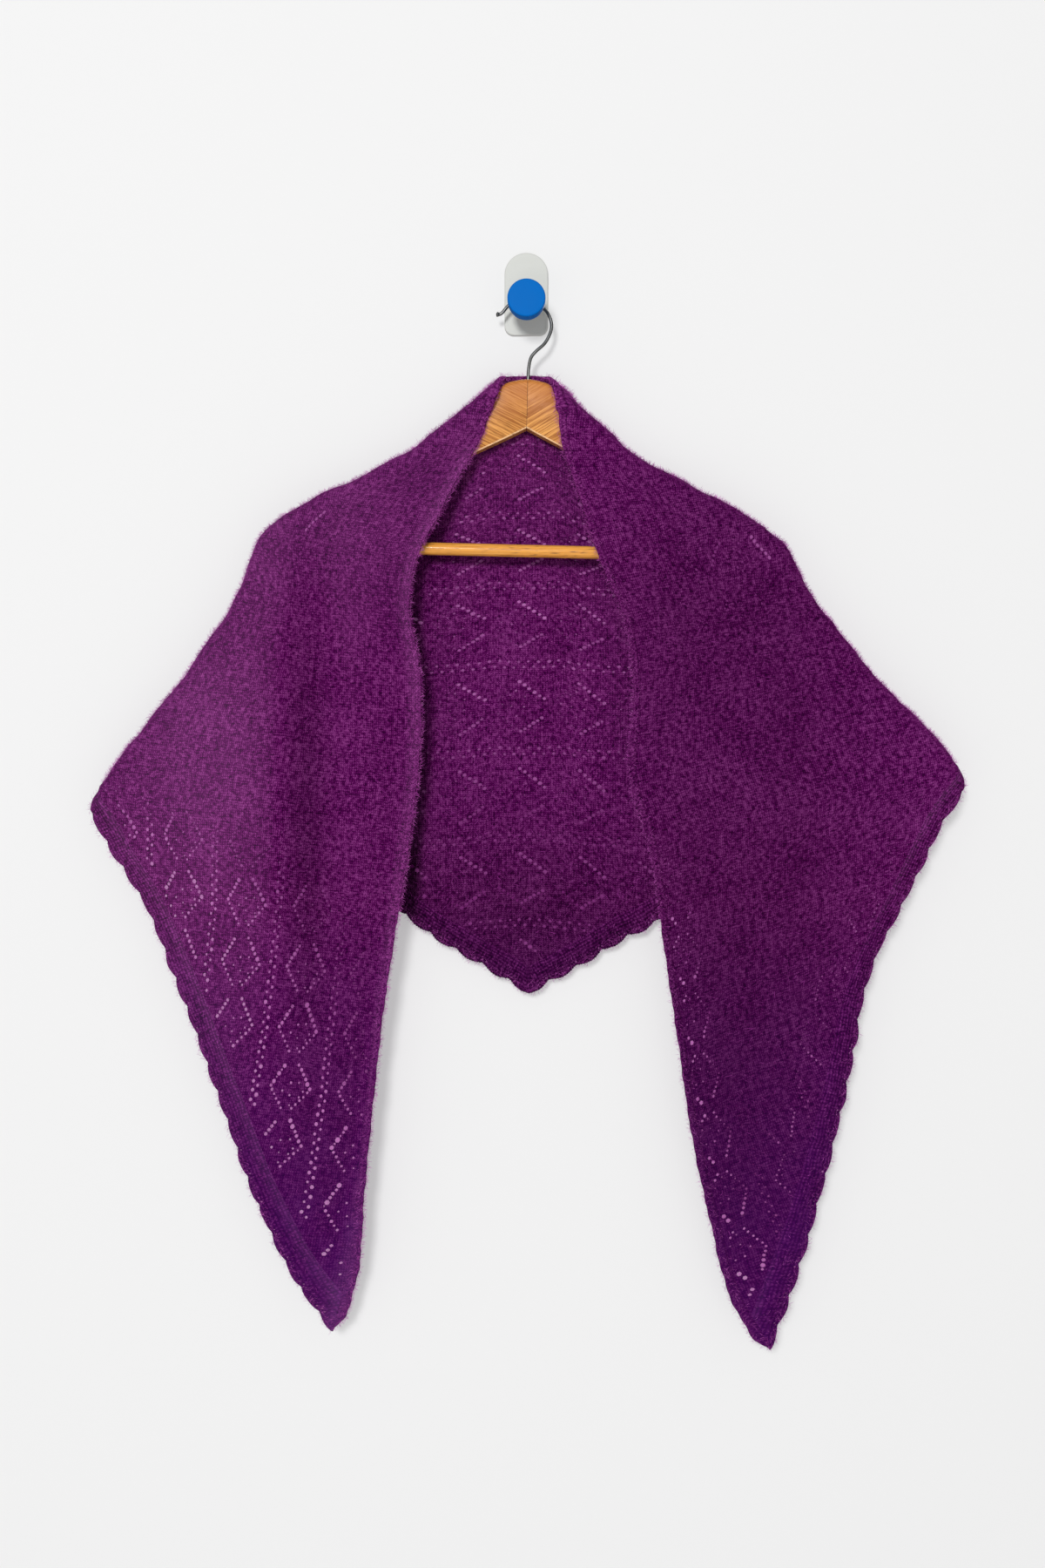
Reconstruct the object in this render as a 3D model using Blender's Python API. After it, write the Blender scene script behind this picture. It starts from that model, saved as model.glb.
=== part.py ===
"""A triangular lace shawl draped over a wooden suit hanger on a knob wall hook.

Frame: the origin is on the back of the wall plate, on the axis of its peg.
+X runs to the viewer's right, +Z is up and the wall is the plane Y = 0, so
everything hangs at negative Y. The tables are in millimetres.

The shawl is one knitted triangle. A point of it is named by its flat place:
  s  along the long edge, 0 at its middle, growing to the right,
  v  across the cloth, 0 on the long edge, SHAWL_DROP at the back point.
drape() takes such a place to where that stitch hangs, and every piece of
cloth is drawn flat, laid on that surface and given its thickness there.
"""
import math

import bmesh
import bpy
import numpy as np
from mathutils import Matrix, Vector
from mathutils.geometry import delaunay_2d_cdt

MM = 0.001

# ---------------------------------------------------------------- the flat cut
SHAWL_HALF = 885.0        # half of the long edge
SHAWL_DROP = 545.0        # long edge to back point
CLOTH = 2.0               # thickness of the knitted cloth
SEAM = 0.2                # each piece stops this far short of a seam line
BAND_WIDTH = 5.5          # rolled selvedge along the long edge
BAND_THICK = 4.0
EDGING_WIDTH = 16.0       # knitted-on scalloped edging along the two short sides
SCALLOP_PITCH = 26.8
SCALLOP_RISE = 3.5
FIRST_NOTCH = 20.0        # from the back point to the first notch
EDGING_CURL = 2.5         # how far the bound-off rim curls to the front
CURL_WIDTH = 9.0
CORNER_FADE, TIP_FADE = 45.0, 50.0      # the curl dies out this near a corner and a tip

HEM_ANGLE = math.atan2(SHAWL_DROP, SHAWL_HALF)
HEM_LENGTH = math.hypot(SHAWL_HALF, SHAWL_DROP)

# where the shawl is folded: along the hanger's top from the neck to the
# shoulder, then hanging free from the shoulder to the corner on the hem
NECK_AT = 23.0
SHOULDER_AT, SHOULDER_V = 195.0, 165.0
FREE_FOLD_RISE = 0.437
CORNER_AT = (SHAWL_DROP - SHOULDER_V + FREE_FOLD_RISE * SHOULDER_AT) / (
    FREE_FOLD_RISE + SHAWL_DROP / SHAWL_HALF)

# ------------------------------------------------------- how the shawl hangs
# Each row is one section across the cloth, at a distance "along" the long
# edge. "out" is the distance to the viewer's left or right of the peg, "down"
# the distance below it and "off" the distance from the wall.

# the rim: neck edge, then fold over the hanger, free fold, and hem to the tip
# columns: along, out, down
RIM_LEFT = [
    (12, 12, 60.5), (23, 22, 63.5), (50, 52.5, 90), (90, 97, 126), (130, 147, 153),
    (165, 192.5, 175), (195, 226, 199.5), (240, 244, 246), (300, 281, 304),
    (370, 330, 368), (420, 363.5, 413), (442, 376.5, 434), (465, 366, 458),
    (520, 333, 512), (600, 297, 598), (680, 266, 684), (760, 235, 770),
    (830, 200, 844), (885, 162, 895),
]
RIM_MIDDLE = (0, 0, 60.5)
RIM_RIGHT = [
    (12, 13, 60.5), (23, 24, 63.5), (50, 51.5, 94), (90, 94.5, 132), (130, 144.5, 161),
    (165, 188, 184), (195, 219.5, 208.5), (240, 243.5, 252), (300, 282, 302),
    (370, 333, 357), (420, 369, 396), (442, 379, 415), (465, 364, 440),
    (520, 335, 498), (600, 295, 583), (680, 276, 676), (760, 254, 769),
    (830, 230, 849), (885, 206.5, 913),
]

# the long edge on the two fronts, from the hanger to the tips
# columns: along, out, down, off
EDGE_LEFT = [
    (50, 29, 92, 31), (90, 44, 128, 34), (130, 63, 162, 39), (165, 78, 193, 43),
    (195, 92, 219, 46), (240, 100, 261, 49), (300, 91, 321, 50), (370, 91, 390, 50),
    (442, 99, 461, 48), (520, 111, 537, 45), (600, 123, 615, 42), (680, 132, 694, 40),
    (760, 140, 773, 37), (830, 146, 842, 34), (885, 162, 895, 31),
]
EDGE_RIGHT = [
    (50, 26, 92, 31), (90, 33, 132, 34), (130, 46, 170, 38), (165, 56, 205, 42),
    (195, 66, 233, 45), (240, 84, 276, 47), (300, 92, 336, 48), (370, 88, 407, 48),
    (442, 107, 477, 46), (520, 118, 556, 43), (600, 130, 636, 41), (680, 142, 717, 38),
    (760, 159, 796, 36), (830, 178, 865, 34), (885, 206.5, 913, 32),
]

# the hem of the back, up behind the two fronts to the corners
# columns: along, out, down, off
HEM_LEFT = [
    (40, 38, 574, 11), (80, 79, 550, 12), (110, 105, 530, 13), (150, 134, 503, 15),
    (195, 168, 474, 17), (240, 204, 453, 19), (300, 254, 440, 20), (370, 318, 437, 20),
    (410, 354, 436, 20),
]
HEM_MIDDLE = (0, 2, 598, 11)
HEM_RIGHT = [
    (40, 43, 576, 11), (80, 83, 552, 12), (110, 113, 536, 13), (150, 141, 508, 15),
    (195, 173, 478, 17), (240, 208, 455, 19), (300, 258, 437, 20), (370, 322, 423, 20),
    (410, 356, 416, 20),
]

# the round of the fold: how far its middle is off the wall, and its radius
# columns: along, off, radius
FOLD = [
    (0, 22.5, 10), (23, 22.5, 10.5), (50, 23, 11), (90, 25, 12), (130, 28, 12),
    (165, 32, 12), (195, 35, 11), (240, 35, 11), (300, 33, 10.5), (370, 30, 10),
    (442, 28, 9), (520, 27, 9), (680, 25, 9), (830, 24, 9), (885, 23, 9),
]

# the largest soft folds; a positive height stands to the front
# columns: s0, v0, s1, v1, half width, height
CREASES = [
    (-240, 100, -590, 56, 26, -7),     # long trough down the left front
    (-310, 170, -520, 135, 30, 6),     # swell outside it
    (-150, 95, -260, 60, 20, -4),      # slack below the left shoulder
    (-620, 40, -790, 20, 16, 4),
    (250, 62, 470, 42, 22, -5),        # trough beside the right inner edge
    (300, 165, 480, 150, 30, -4),
    (330, 115, 600, 95, 24, 4),
    (150, 90, 240, 70, 20, -3),
    (650, 45, 800, 25, 16, -4),
    (-118, 480, -150, 330, 11, -7),    # folds of the back behind the left front
    (-158, 460, -190, 320, 15, 9),
    (-214, 420, -235, 270, 17, -9),
    (-268, 385, -280, 270, 17, 9),
    (-325, 350, -325, 280, 17, -8),
    (-380, 315, -375, 275, 14, 5),
    (126, 470, 156, 330, 12, -6),      # and behind the right one
    (170, 445, 196, 310, 16, 9),
    (226, 410, 240, 270, 17, -9),
    (283, 375, 290, 265, 18, 8),
    (342, 340, 338, 285, 16, -7),
    (392, 308, 388, 280, 13, 4),
]
# how high the middle rows of the back ride; columns: s, height
SPARE = [
    (-330, 0), (-200, 6), (-100, 12), (-50, 16.5), (0, 19.5), (50, 19.5), (100, 16.5),
    (200, 8), (330, 0),
]
LEAST_SLANT = 0.55        # limits how wide a slanted section goes round the fold
SETTLE = 30.0             # the creases fade out this close to the fold

# ------------------------------------------------------------ the lace's gaps
REPEAT_S, REPEAT_V = 51.5, 72.0     # one repeat of the lace
CHART_S, CHART_V = 3.0, 59.0        # where its grid starts
DOWN_DIAGONAL = (-10.0, 14.5, 11.0, 29.5)     # s0, v0, s1, v1 from the repeat's start
UP_DIAGONAL = (-9.0, 56.0, 9.0, 45.0)
DIAGONAL_EYELETS = 6
# where the cloth hangs slack the lace closes up, and it slips along the edge
# columns: chart's distance along, slip, share of the row spacing kept, stand-off from the edge
LACE_LEFT = [
    (0, 0, 1.0, 0), (60, 0, 1.0, 0), (190, -22, 1.0, 4.6), (320, -14, 0.9, 3), (450, -8, 0.795, 1.5),
    (550, -5, 0.785, 0), (650, -4.5, 0.785, -4), (720, -8.5, 0.785, -6), (885, -9, 0.785, -8),
]
LACE_RIGHT = [
    (0, 0, 1.0, 0), (60, 0, 1.0, 0), (200, -11, 0.92, -2), (330, -18, 0.84, -1), (480, -24, 0.77, 0),
    (650, -24.5, 0.71, 0), (885, -24.5, 0.7, 0),
]
SHOULDER_GAP = (2.7, 2.2)           # half length and half width
FRONT_GAP = (2.4, 2.1)
GAP_SIDES = 6
# diagonals whose eyelets are pulled open past 4 mm: (repeat along, repeat
# across, which diagonal, size)
OPEN_DIAGONALS = [
    (4, 1, DOWN_DIAGONAL, SHOULDER_GAP),
    (-4, 0, UP_DIAGONAL, SHOULDER_GAP),
    (-11, 2, DOWN_DIAGONAL, FRONT_GAP),
    (-11, 1, UP_DIAGONAL, FRONT_GAP),
    (-12, 1, UP_DIAGONAL, FRONT_GAP),
    (-12, 1, DOWN_DIAGONAL, FRONT_GAP),
    (-13, 1, DOWN_DIAGONAL, FRONT_GAP),
    (-14, 0, UP_DIAGONAL, FRONT_GAP),
]

# ------------------------------------------------------------------ the hanger
HANGER_X = 1.2            # the hook's stem, to the right of the peg
HANGER_TILT = math.radians(-1.35)
JOINT_GAP = 0.15          # half the gap between the two glued arms
# columns: out, top, bottom, off, thick
ARM = [
    (JOINT_GAP, 65.6, 108.8, 22, 14), (10, 67, 114, 22, 14), (22, 71.7, 120, 22, 14),
    (38, 89, 128, 22.5, 13), (60, 108.5, 139, 23, 12.5), (94, 137, 158, 25, 12.5),
    (125, 154.5, 175, 27.5, 12.5), (150, 168, 189, 30, 12.5), (170, 178, 204, 32, 12.5),
    (182, 184, 219, 33, 12.5), (194, 190, 226, 34, 12.5), (204, 197, 228, 35, 12),
    (212, 204, 226, 35.5, 10), (217, 211, 219, 35.5, 6),
]
ARM_CORNER = 5.5
ARM_FLAT = 0.6            # least half width left flat between two rounded corners
BAR_RADIUS = 5.5
BAR_HALF = 196.0
BAR_DOWN = 216.0
BAR_OFF = 32.5
SOCKET_FROM = 150.0       # the cutter for the bar's socket starts inside this
SOCKET_CLEARANCE = 0.3
STEM_CLEARANCE = 0.4
BAR_SIDES = 16

WIRE_RADIUS = 1.45
HOOK_SIDES = 8
# columns: x, z, off
HOOK = [
    (1.2, -81.0, 22.0), (1.4, -66.0, 22.0), (2.2, -54.0, 21.2), (4.2, -45.6, 20.6),
    (8.5, -40.1, 20.2), (16.0, -33.0, 19.4), (21.0, -23.5, 18.8), (22.0, -15.5, 18.3),
    (19.4, -7.6, 17.8), (14.9, -1.8, 17.5), (8.2, 5.2, 17.2), (0.0, 8.0, 17.0),
    (-9.0, 5.6, 16.8), (-16.3, 0.0, 16.7), (-20.9, -5.4, 16.6), (-23.8, -7.0, 16.5),
    (-26.4, -6.6, 16.5),
]
HOOK_STEPS = 3            # pieces of wire between two rows of the table
TIP_RADII = [1.8, 2.1, 2.0, 1.15]       # the small ball at its end

# --------------------------------------------------------------- the wall hook
PLATE_WIDTH, PLATE_THICK = 38.4, 3.0
PLATE_TOP, PLATE_BOTTOM = 51.3, -21.7
PLATE_FOOT_RADIUS = 8.0
PLATE_BEVEL = 1.0
FIT = 0.3                 # faces that touch are drawn this far apart
PEG_RADIUS = 6.2
KNOB_RADIUS = 16.4
KNOB_BACK, KNOB_FRONT = 23.0, 45.0
PEG_SIDES, KNOB_SIDES = 20, 28
# columns of both profiles: off the wall, radius
PEG_PROFILE = [(PLATE_THICK + FIT, PEG_RADIUS), (KNOB_BACK - FIT, PEG_RADIUS)]
KNOB_PROFILE = [
    (KNOB_BACK, 10.5), (KNOB_BACK + 3.0, KNOB_RADIUS - 2.5), (KNOB_BACK + 7.0, KNOB_RADIUS - 0.6),
    (KNOB_BACK + 11.0, KNOB_RADIUS), (KNOB_FRONT - 1.6, KNOB_RADIUS),
    (KNOB_FRONT - 0.5, KNOB_RADIUS - 0.5), (KNOB_FRONT, KNOB_RADIUS - 1.6),
]

# ---------------------------------------------------------------- mesh sizes
SEAM_STEP = 17.0          # spacing of points along folds and seams
GRID_S, GRID_V = 21.0, 24.0
FOLD_ROWS = (5.0, 10.5, 17.0)
CLEAR_OF_EDGE = 8.5
CLEAR_OF_CURLED_EDGE = 3.8
CLEAR_OF_GAP = 5.5
CLEAR_OF_FOLD_ROWS = 7.0
CLEAR_OF_SEAM_ENDS = 1.5  # scallop points this near the end of a run are left out
GAP_FROM_EDGE = 4.5       # a lace gap keeps this far inside its piece
SLOPE_STEP = 0.4          # flat distance over which the cloth's slope is taken
POINTS_A_SCALLOP = 5
BAND_SIDES = 8

COLOURS = {
    "mohair": ((0.115, 0.012, 0.118), 0.9, 0.0),
    "mohair_edge": ((0.075, 0.008, 0.085), 0.9, 0.0),
    "honey_wood": ((0.60, 0.27, 0.07), 0.38, 0.0),
    "nickel_wire": ((0.42, 0.42, 0.43), 0.3, 1.0),
    "white_plastic": ((0.74, 0.76, 0.72), 0.35, 0.0),
    "blue_plastic": ((0.0, 0.13, 0.60), 0.3, 0.0),
    "peg_plastic": ((0.66, 0.60, 0.50), 0.4, 0.0),
}


# =========================================================== small mathematics
def smooth_curve(knots, values, at):
    """Values on a smooth curve through the rows of a table, at many places."""
    knots = np.asarray(knots, float)
    values = np.asarray(values, float)
    slopes = np.gradient(values, knots, axis=0)
    at = np.clip(np.asarray(at, float), knots[0], knots[-1])
    low = np.clip(np.searchsorted(knots, at) - 1, 0, len(knots) - 2)
    span = knots[low + 1] - knots[low]
    t = ((at - knots[low]) / span)[..., None]
    span = span[..., None]
    return ((2 * t**3 - 3 * t**2 + 1) * values[low] + (t**3 - 2 * t**2 + t) * span * slopes[low]
            + (3 * t**2 - 2 * t**3) * values[low + 1] + (t**3 - t**2) * span * slopes[low + 1])


def signed_rows(left, middle, right):
    """One table from tip to tip: distances to the left become negative."""
    rows = [(-row[0], -row[1]) + tuple(row[2:]) for row in reversed(left)]
    rows += [middle] + [tuple(row) for row in right]
    return np.array(rows, float)


def fold_line(u):
    """Where the fold runs in the flat cloth; outside the cloth past its ends."""
    neck_rise = SHOULDER_V / (SHOULDER_AT - NECK_AT)
    return np.where(u < SHOULDER_AT, neck_rise * (u - NECK_AT),
                    SHOULDER_V + FREE_FOLD_RISE * (u - SHOULDER_AT))


def hem_line(u):
    return SHAWL_DROP * (1.0 - u / SHAWL_HALF)


RIM_ROWS = signed_rows(RIM_LEFT, RIM_MIDDLE, RIM_RIGHT)
HEM_ROWS = {
    -1: np.array([HEM_MIDDLE] + [(row[0], -row[1]) + tuple(row[2:]) for row in HEM_LEFT], float),
    1: np.array([HEM_MIDDLE] + HEM_RIGHT, float),
}
EDGE_ROWS = {
    -1: np.array([(row[0], -row[1]) + tuple(row[2:]) for row in EDGE_LEFT], float),
    1: np.array(EDGE_RIGHT, float),
}
FOLD_ROWS_TABLE = np.array(FOLD, float)
SPARE_TABLE = np.array(SPARE, float)
FRONT_FROM, FRONT_TO = EDGE_LEFT[0][0], 870.0
BACK_TO = HEM_LEFT[-1][0]


def rim_state(s):
    """The rim at a section: its place, its flat v, and the fold's round there."""
    u = np.abs(s)
    rim = smooth_curve(RIM_ROWS[:, 0], RIM_ROWS[:, 1:], s)
    fold = smooth_curve(FOLD_ROWS_TABLE[:, 0], FOLD_ROWS_TABLE[:, 1:], u)
    line = fold_line(u)
    rim_v = np.clip(line, 0.0, hem_line(u))
    start = np.clip(np.abs(line - rim_v) / fold[..., 1], 0.0, math.pi / 2)
    return rim, rim_v, fold[..., 0], fold[..., 1], start


def rim_direction(s):
    ahead = smooth_curve(RIM_ROWS[:, 0], RIM_ROWS[:, 1:], s + 2.0)
    behind = smooth_curve(RIM_ROWS[:, 0], RIM_ROWS[:, 1:], s - 2.0)
    line = ahead - behind
    return line / np.maximum(np.linalg.norm(line, axis=-1, keepdims=True), 1e-9)


def run_of(s, front):
    """Direction and stretch of a section from the rim to the edge or the hem."""
    side = np.where(s < 0, -1.0, 1.0)
    u = np.abs(s)
    held = np.clip(u, FRONT_FROM, FRONT_TO) if front else np.minimum(u, BACK_TO)
    rim, rim_v, _, radius, start = rim_state(side * held)
    rows = EDGE_ROWS if front else HEM_ROWS
    left = smooth_curve(rows[-1][:, 0], rows[-1][:, 1:], held)
    right = smooth_curve(rows[1][:, 0], rows[1][:, 1:], held)
    end = np.where((side < 0)[..., None], left, right)
    flat = rim_v if front else hem_line(held) - rim_v
    run = end[..., :2] - rim
    length = np.hypot(run[..., 0], run[..., 1])
    direction = run / length[..., None]
    # a section that meets the fold at a slant goes round a wider curve
    along = rim_direction(side * held)
    slant = np.abs(direction[..., 0] * along[..., 1] - direction[..., 1] * along[..., 0])
    wide = radius / np.maximum(slant, LEAST_SLANT)
    round_flat = 0.5 * (radius + wide) * (math.pi / 2 - start)
    flat_run = flat - round_flat
    stretch = (length - wide * np.cos(start)) / flat_run
    return direction, stretch, flat_run, end[..., 2], wide


def creases(s, v):
    """Height of the soft folds at a flat place."""
    height = np.zeros_like(s)
    for s0, v0, s1, v1, half_width, rise in CREASES:
        line_s, line_v = s1 - s0, v1 - v0
        t = ((s - s0) * line_s + (v - v0) * line_v) / (line_s**2 + line_v**2)
        t = np.clip(t, 0.0, 1.0)
        away = np.hypot(s - s0 - t * line_s, v - v0 - t * line_v)
        height += rise * np.exp(-((away / half_width) ** 2))
    return height


def drape_face(s, v, front):
    """Where a flat place hangs: round the rim, then down a front or the back."""
    rim, rim_v, middle_off, radius, start = rim_state(s)
    direction, stretch, flat_run, end_off, wide = run_of(s, front)
    arc = rim_v - v if front else v - rim_v
    round_radius = 0.5 * (radius + wide)
    turn = np.clip(start + arc / round_radius, 0.0, math.pi / 2)
    past = np.maximum(arc - round_radius * (math.pi / 2 - start), 0.0)
    share = np.clip(past / flat_run, 0.0, 1.0)
    if not front:
        spare = smooth_curve(SPARE_TABLE[:, 0], SPARE_TABLE[:, 1:], s)[..., 0]
        past = past - spare * np.sin(math.pi * share)
    reach = wide * (np.cos(start) - np.cos(turn)) + stretch * past
    place = rim + direction * reach[..., None]
    toward = 1.0 if front else -1.0
    face_off = middle_off + toward * radius
    ease = share * share * (3.0 - 2.0 * share)
    off = middle_off + toward * radius * np.sin(turn) + (end_off - face_off) * ease
    off = off + creases(s, v) * np.clip(past / SETTLE, 0.0, 1.0)
    return np.stack([place[..., 0], -off, -place[..., 1]], axis=-1)


def drape(s, v):
    """Where the stitch at the flat place (s, v) hangs, in millimetres."""
    s = np.asarray(s, float)
    v = np.asarray(v, float)
    front = v <= fold_line(np.abs(s))
    return np.where(front[..., None], drape_face(s, v, True), drape_face(s, v, False))


def off_the_cloth(s, v, height):
    """A place that stands off the cloth's middle surface, towards its right side."""
    s = np.asarray(s, float)
    v = np.asarray(v, float)
    along = drape(s + SLOPE_STEP, v) - drape(s - SLOPE_STEP, v)
    across = drape(s, v + SLOPE_STEP) - drape(s, v - SLOPE_STEP)
    normal = np.cross(across, along)
    normal /= np.linalg.norm(normal, axis=-1, keepdims=True)
    return drape(s, v) + normal * np.asarray(height, float)[..., None]


def solve(function, low, high):
    """The place between low and high where the function changes sign."""
    low_sign = function(low) > 0
    for _ in range(50):
        middle = 0.5 * (low + high)
        if (function(middle) > 0) == low_sign:
            low = middle
        else:
            high = middle
    return 0.5 * (low + high)


def stations(start, end, step):
    count = max(2, int(math.ceil(abs(end - start) / step)) + 1)
    return np.linspace(start, end, count)


# ==================================================================== objects
def make_material(name):
    colour, roughness, metallic = COLOURS[name]
    material = bpy.data.materials.new(name)
    material.use_nodes = True
    shader = material.node_tree.nodes["Principled BSDF"]
    shader.inputs["Base Color"].default_value = (*colour, 1.0)
    shader.inputs["Roughness"].default_value = roughness
    shader.inputs["Metallic"].default_value = metallic
    material.diffuse_color = (*colour, 1.0)
    return material


def make_object(name, mesh, material):
    piece = bpy.data.objects.new(name, mesh)
    bpy.context.scene.collection.objects.link(piece)
    mesh.materials.clear()
    mesh.materials.append(material)
    return piece


def object_from_faces(name, points, faces, material, smooth_angle=50.0):
    """A closed solid from points in millimetres, its faces turned outwards."""
    mesh = bpy.data.meshes.new(name)
    mesh.from_pydata([tuple(point) for point in np.asarray(points) * MM], [], faces)
    work = bmesh.new()
    work.from_mesh(mesh)
    bmesh.ops.recalc_face_normals(work, faces=work.faces)
    work.to_mesh(mesh)
    work.free()
    mesh.shade_smooth()
    mesh.set_sharp_from_angle(angle=math.radians(smooth_angle))
    return make_object(name, mesh, material)


# ================================================================ cloth pieces
def inside(points, outline):
    """Which points lie inside a closed flat outline."""
    x, y = points[:, 0][:, None], points[:, 1][:, None]
    ax, ay = outline[:, 0][None], outline[:, 1][None]
    bx, by = np.roll(outline[:, 0], -1)[None], np.roll(outline[:, 1], -1)[None]
    spans = (ay > y) != (by > y)
    rise = np.where(by == ay, 1.0, by - ay)
    left_of = x < ax + (y - ay) * (bx - ax) / rise
    return (np.sum(spans & left_of, axis=1) % 2) == 1


def distance_to(points, outline):
    a = outline[None]
    b = np.roll(outline, -1, axis=0)[None]
    p = points[:, None]
    line = b - a
    t = np.sum((p - a) * line, axis=2) / np.maximum(np.sum(line * line, axis=2), 1e-9)
    nearest = a + np.clip(t, 0, 1)[..., None] * line
    return np.min(np.linalg.norm(p - nearest, axis=2), axis=1)


def lace_place(s, v):
    """The flat place of a point of the lace chart."""
    u = np.abs(s)
    left, right = np.array(LACE_LEFT, float), np.array(LACE_RIGHT, float)
    on_left = smooth_curve(left[:, 0], left[:, 1:], u)
    on_right = smooth_curve(right[:, 0], right[:, 1:], u)
    fit = np.where((np.asarray(s) < 0)[..., None], on_left, on_right)
    return np.sign(s) * (u + fit[..., 0]), v * fit[..., 1] + fit[..., 2]


def gap_rings():
    """The lace gaps that are cut through: (middle, ring of points) of each."""
    rings = []
    for column, row, diagonal, (half_long, half_wide) in OPEN_DIAGONALS:
        s0, v0, s1, v1 = diagonal
        for share in np.linspace(0.0, 1.0, DIAGONAL_EYELETS):
            middle = np.array(lace_place(
                CHART_S + REPEAT_S * column + s0 + (s1 - s0) * share,
                CHART_V + REPEAT_V * row + v0 + (v1 - v0) * share))
            turns = np.arange(GAP_SIDES) * 2 * math.pi / GAP_SIDES
            ring = middle + np.stack([half_long * np.cos(turns), half_wide * np.sin(turns)], 1)
            rings.append((middle, ring))
    return rings


def cloth_solid(name, outline, inner, material, gaps=(), curl=None):
    """A flat outline, laid on the draped surface as a closed wall of cloth."""
    outline = np.asarray(outline, float)
    inner = np.asarray(inner, float).reshape(-1, 2)
    gaps = [(middle, ring) for middle, ring in gaps
            if inside(middle[None], outline)[0]
            and distance_to(middle[None], outline)[0] > GAP_FROM_EDGE]
    inner = inner[inside(inner, outline)]
    inner = inner[distance_to(inner, outline) > (CLEAR_OF_CURLED_EDGE if curl else CLEAR_OF_EDGE)]
    for middle, _ in gaps:
        inner = inner[np.linalg.norm(inner - middle, axis=1) > CLEAR_OF_GAP]

    flat = [outline, inner] + [ring for _, ring in gaps]
    edges = [(i, (i + 1) % len(outline)) for i in range(len(outline))]
    first = len(outline) + len(inner)
    for _, ring in gaps:
        edges += [(first + i, first + (i + 1) % len(ring)) for i in range(len(ring))]
        first += len(ring)
    points = [Vector((float(s), float(v))) for s, v in np.concatenate(flat)]
    found, _, faces, _, _, _ = delaunay_2d_cdt(points, edges, [], 1, 1e-5)
    found = np.array([(p.x, p.y) for p in found])
    faces = [tuple(face) for face in faces]
    centres = np.array([found[list(face)].mean(axis=0) for face in faces])
    keep = inside(centres, outline)
    for _, ring in gaps:
        keep &= ~inside(centres, ring)
    faces = [face for face, wanted in zip(faces, keep) if wanted]

    used = sorted({corner for face in faces for corner in face})
    renumber = {old: new for new, old in enumerate(used)}
    found = found[used]
    faces = [tuple(renumber[corner] for corner in face) for face in faces]

    lift = curl(found[:, 0], found[:, 1]) if curl else np.zeros(len(found))
    front = off_the_cloth(found[:, 0], found[:, 1], lift + CLOTH / 2)
    back = off_the_cloth(found[:, 0], found[:, 1], lift - CLOTH / 2)
    count = len(found)
    sides = {}
    for face in faces:
        for a, b in zip(face, face[1:] + face[:1]):
            sides[(a, b)] = True
    rim = [(a, b) for a, b in sides if (b, a) not in sides]
    solid = list(faces) + [tuple(count + corner for corner in reversed(face)) for face in faces]
    for a, b in rim:
        # both pieces at a seam split their walls alike, so the walls stay parallel
        if found[a, 0] < found[b, 0]:
            solid += [(b, a, count + b), (a, count + a, count + b)]
        else:
            solid += [(b, a, count + a), (b, count + a, count + b)]
    return object_from_faces(name, np.concatenate([front, back]), solid, material)


def inset_v(u, inset):
    """The flat v of the line that runs this far inside the hem."""
    return hem_line(u) - inset / math.cos(HEM_ANGLE)


def scallop(distance):
    """How far the edging stands past the hem line, a distance from the point."""
    return SCALLOP_RISE * abs(math.sin(math.pi * (distance - FIRST_NOTCH) / SCALLOP_PITCH))


def scallop_point(side, distance):
    out = scallop(distance)
    u = distance * math.cos(HEM_ANGLE) + out * math.sin(HEM_ANGLE)
    v = SHAWL_DROP - distance * math.sin(HEM_ANGLE) + out * math.cos(HEM_ANGLE)
    return side * u, v


def scallop_run(side, start, end):
    """Points along the scallops, with one in each notch."""
    step = SCALLOP_PITCH / POINTS_A_SCALLOP
    first = math.ceil((start - FIRST_NOTCH) / step)
    last = math.floor((end - FIRST_NOTCH) / step)
    return [scallop_point(side, FIRST_NOTCH + step * k) for k in range(first, last + 1)]


PANEL_INSET = EDGING_WIDTH + SEAM
PANEL_LOW = BAND_WIDTH + SEAM


def at_corner(inset, past_fold):
    """The flat place where a line inside the hem meets one beside the fold."""
    u = solve(lambda u: float(fold_line(u)) + past_fold - float(inset_v(u, inset)), SHOULDER_AT, 500.0)
    return u, float(inset_v(u, inset))


def at_tip(inset):
    """The flat place where a line inside the hem meets the selvedge."""
    return solve(lambda u: float(inset_v(u, inset)) - PANEL_LOW, CORNER_AT, SHAWL_HALF), PANEL_LOW


def at_neck(past_fold):
    """The flat place where a line beside the fold meets the selvedge."""
    return solve(lambda u: float(fold_line(u)) + past_fold - PANEL_LOW, NECK_AT, SHOULDER_AT), PANEL_LOW


CORNER_IN = at_corner(EDGING_WIDTH, 0.0)[0]
NECK_IN = at_neck(0.0)[0]
TIP_IN = at_tip(EDGING_WIDTH)[0]
NECK_STATIONS = stations(-NECK_IN, NECK_IN, 3.0)
FOLD_STATIONS = np.concatenate([
    stations(NECK_IN, 70.0, 9.0), stations(70.0, SHOULDER_AT, SEAM_STEP)[1:],
    stations(SHOULDER_AT, CORNER_IN, SEAM_STEP)[1:]])
CORNER_STEPS = (4.0, 8.5, 14.0, 22.0)
CORNER_CLEAR, TIP_CLEAR, POINT_CLEAR = 36.0, 12.0, 10.0
HEM_FRONT_STATIONS = np.concatenate([
    [CORNER_IN], CORNER_IN + np.array(CORNER_STEPS),
    stations(CORNER_IN + CORNER_STEPS[-1], TIP_IN, SEAM_STEP)[1:]])
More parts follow.
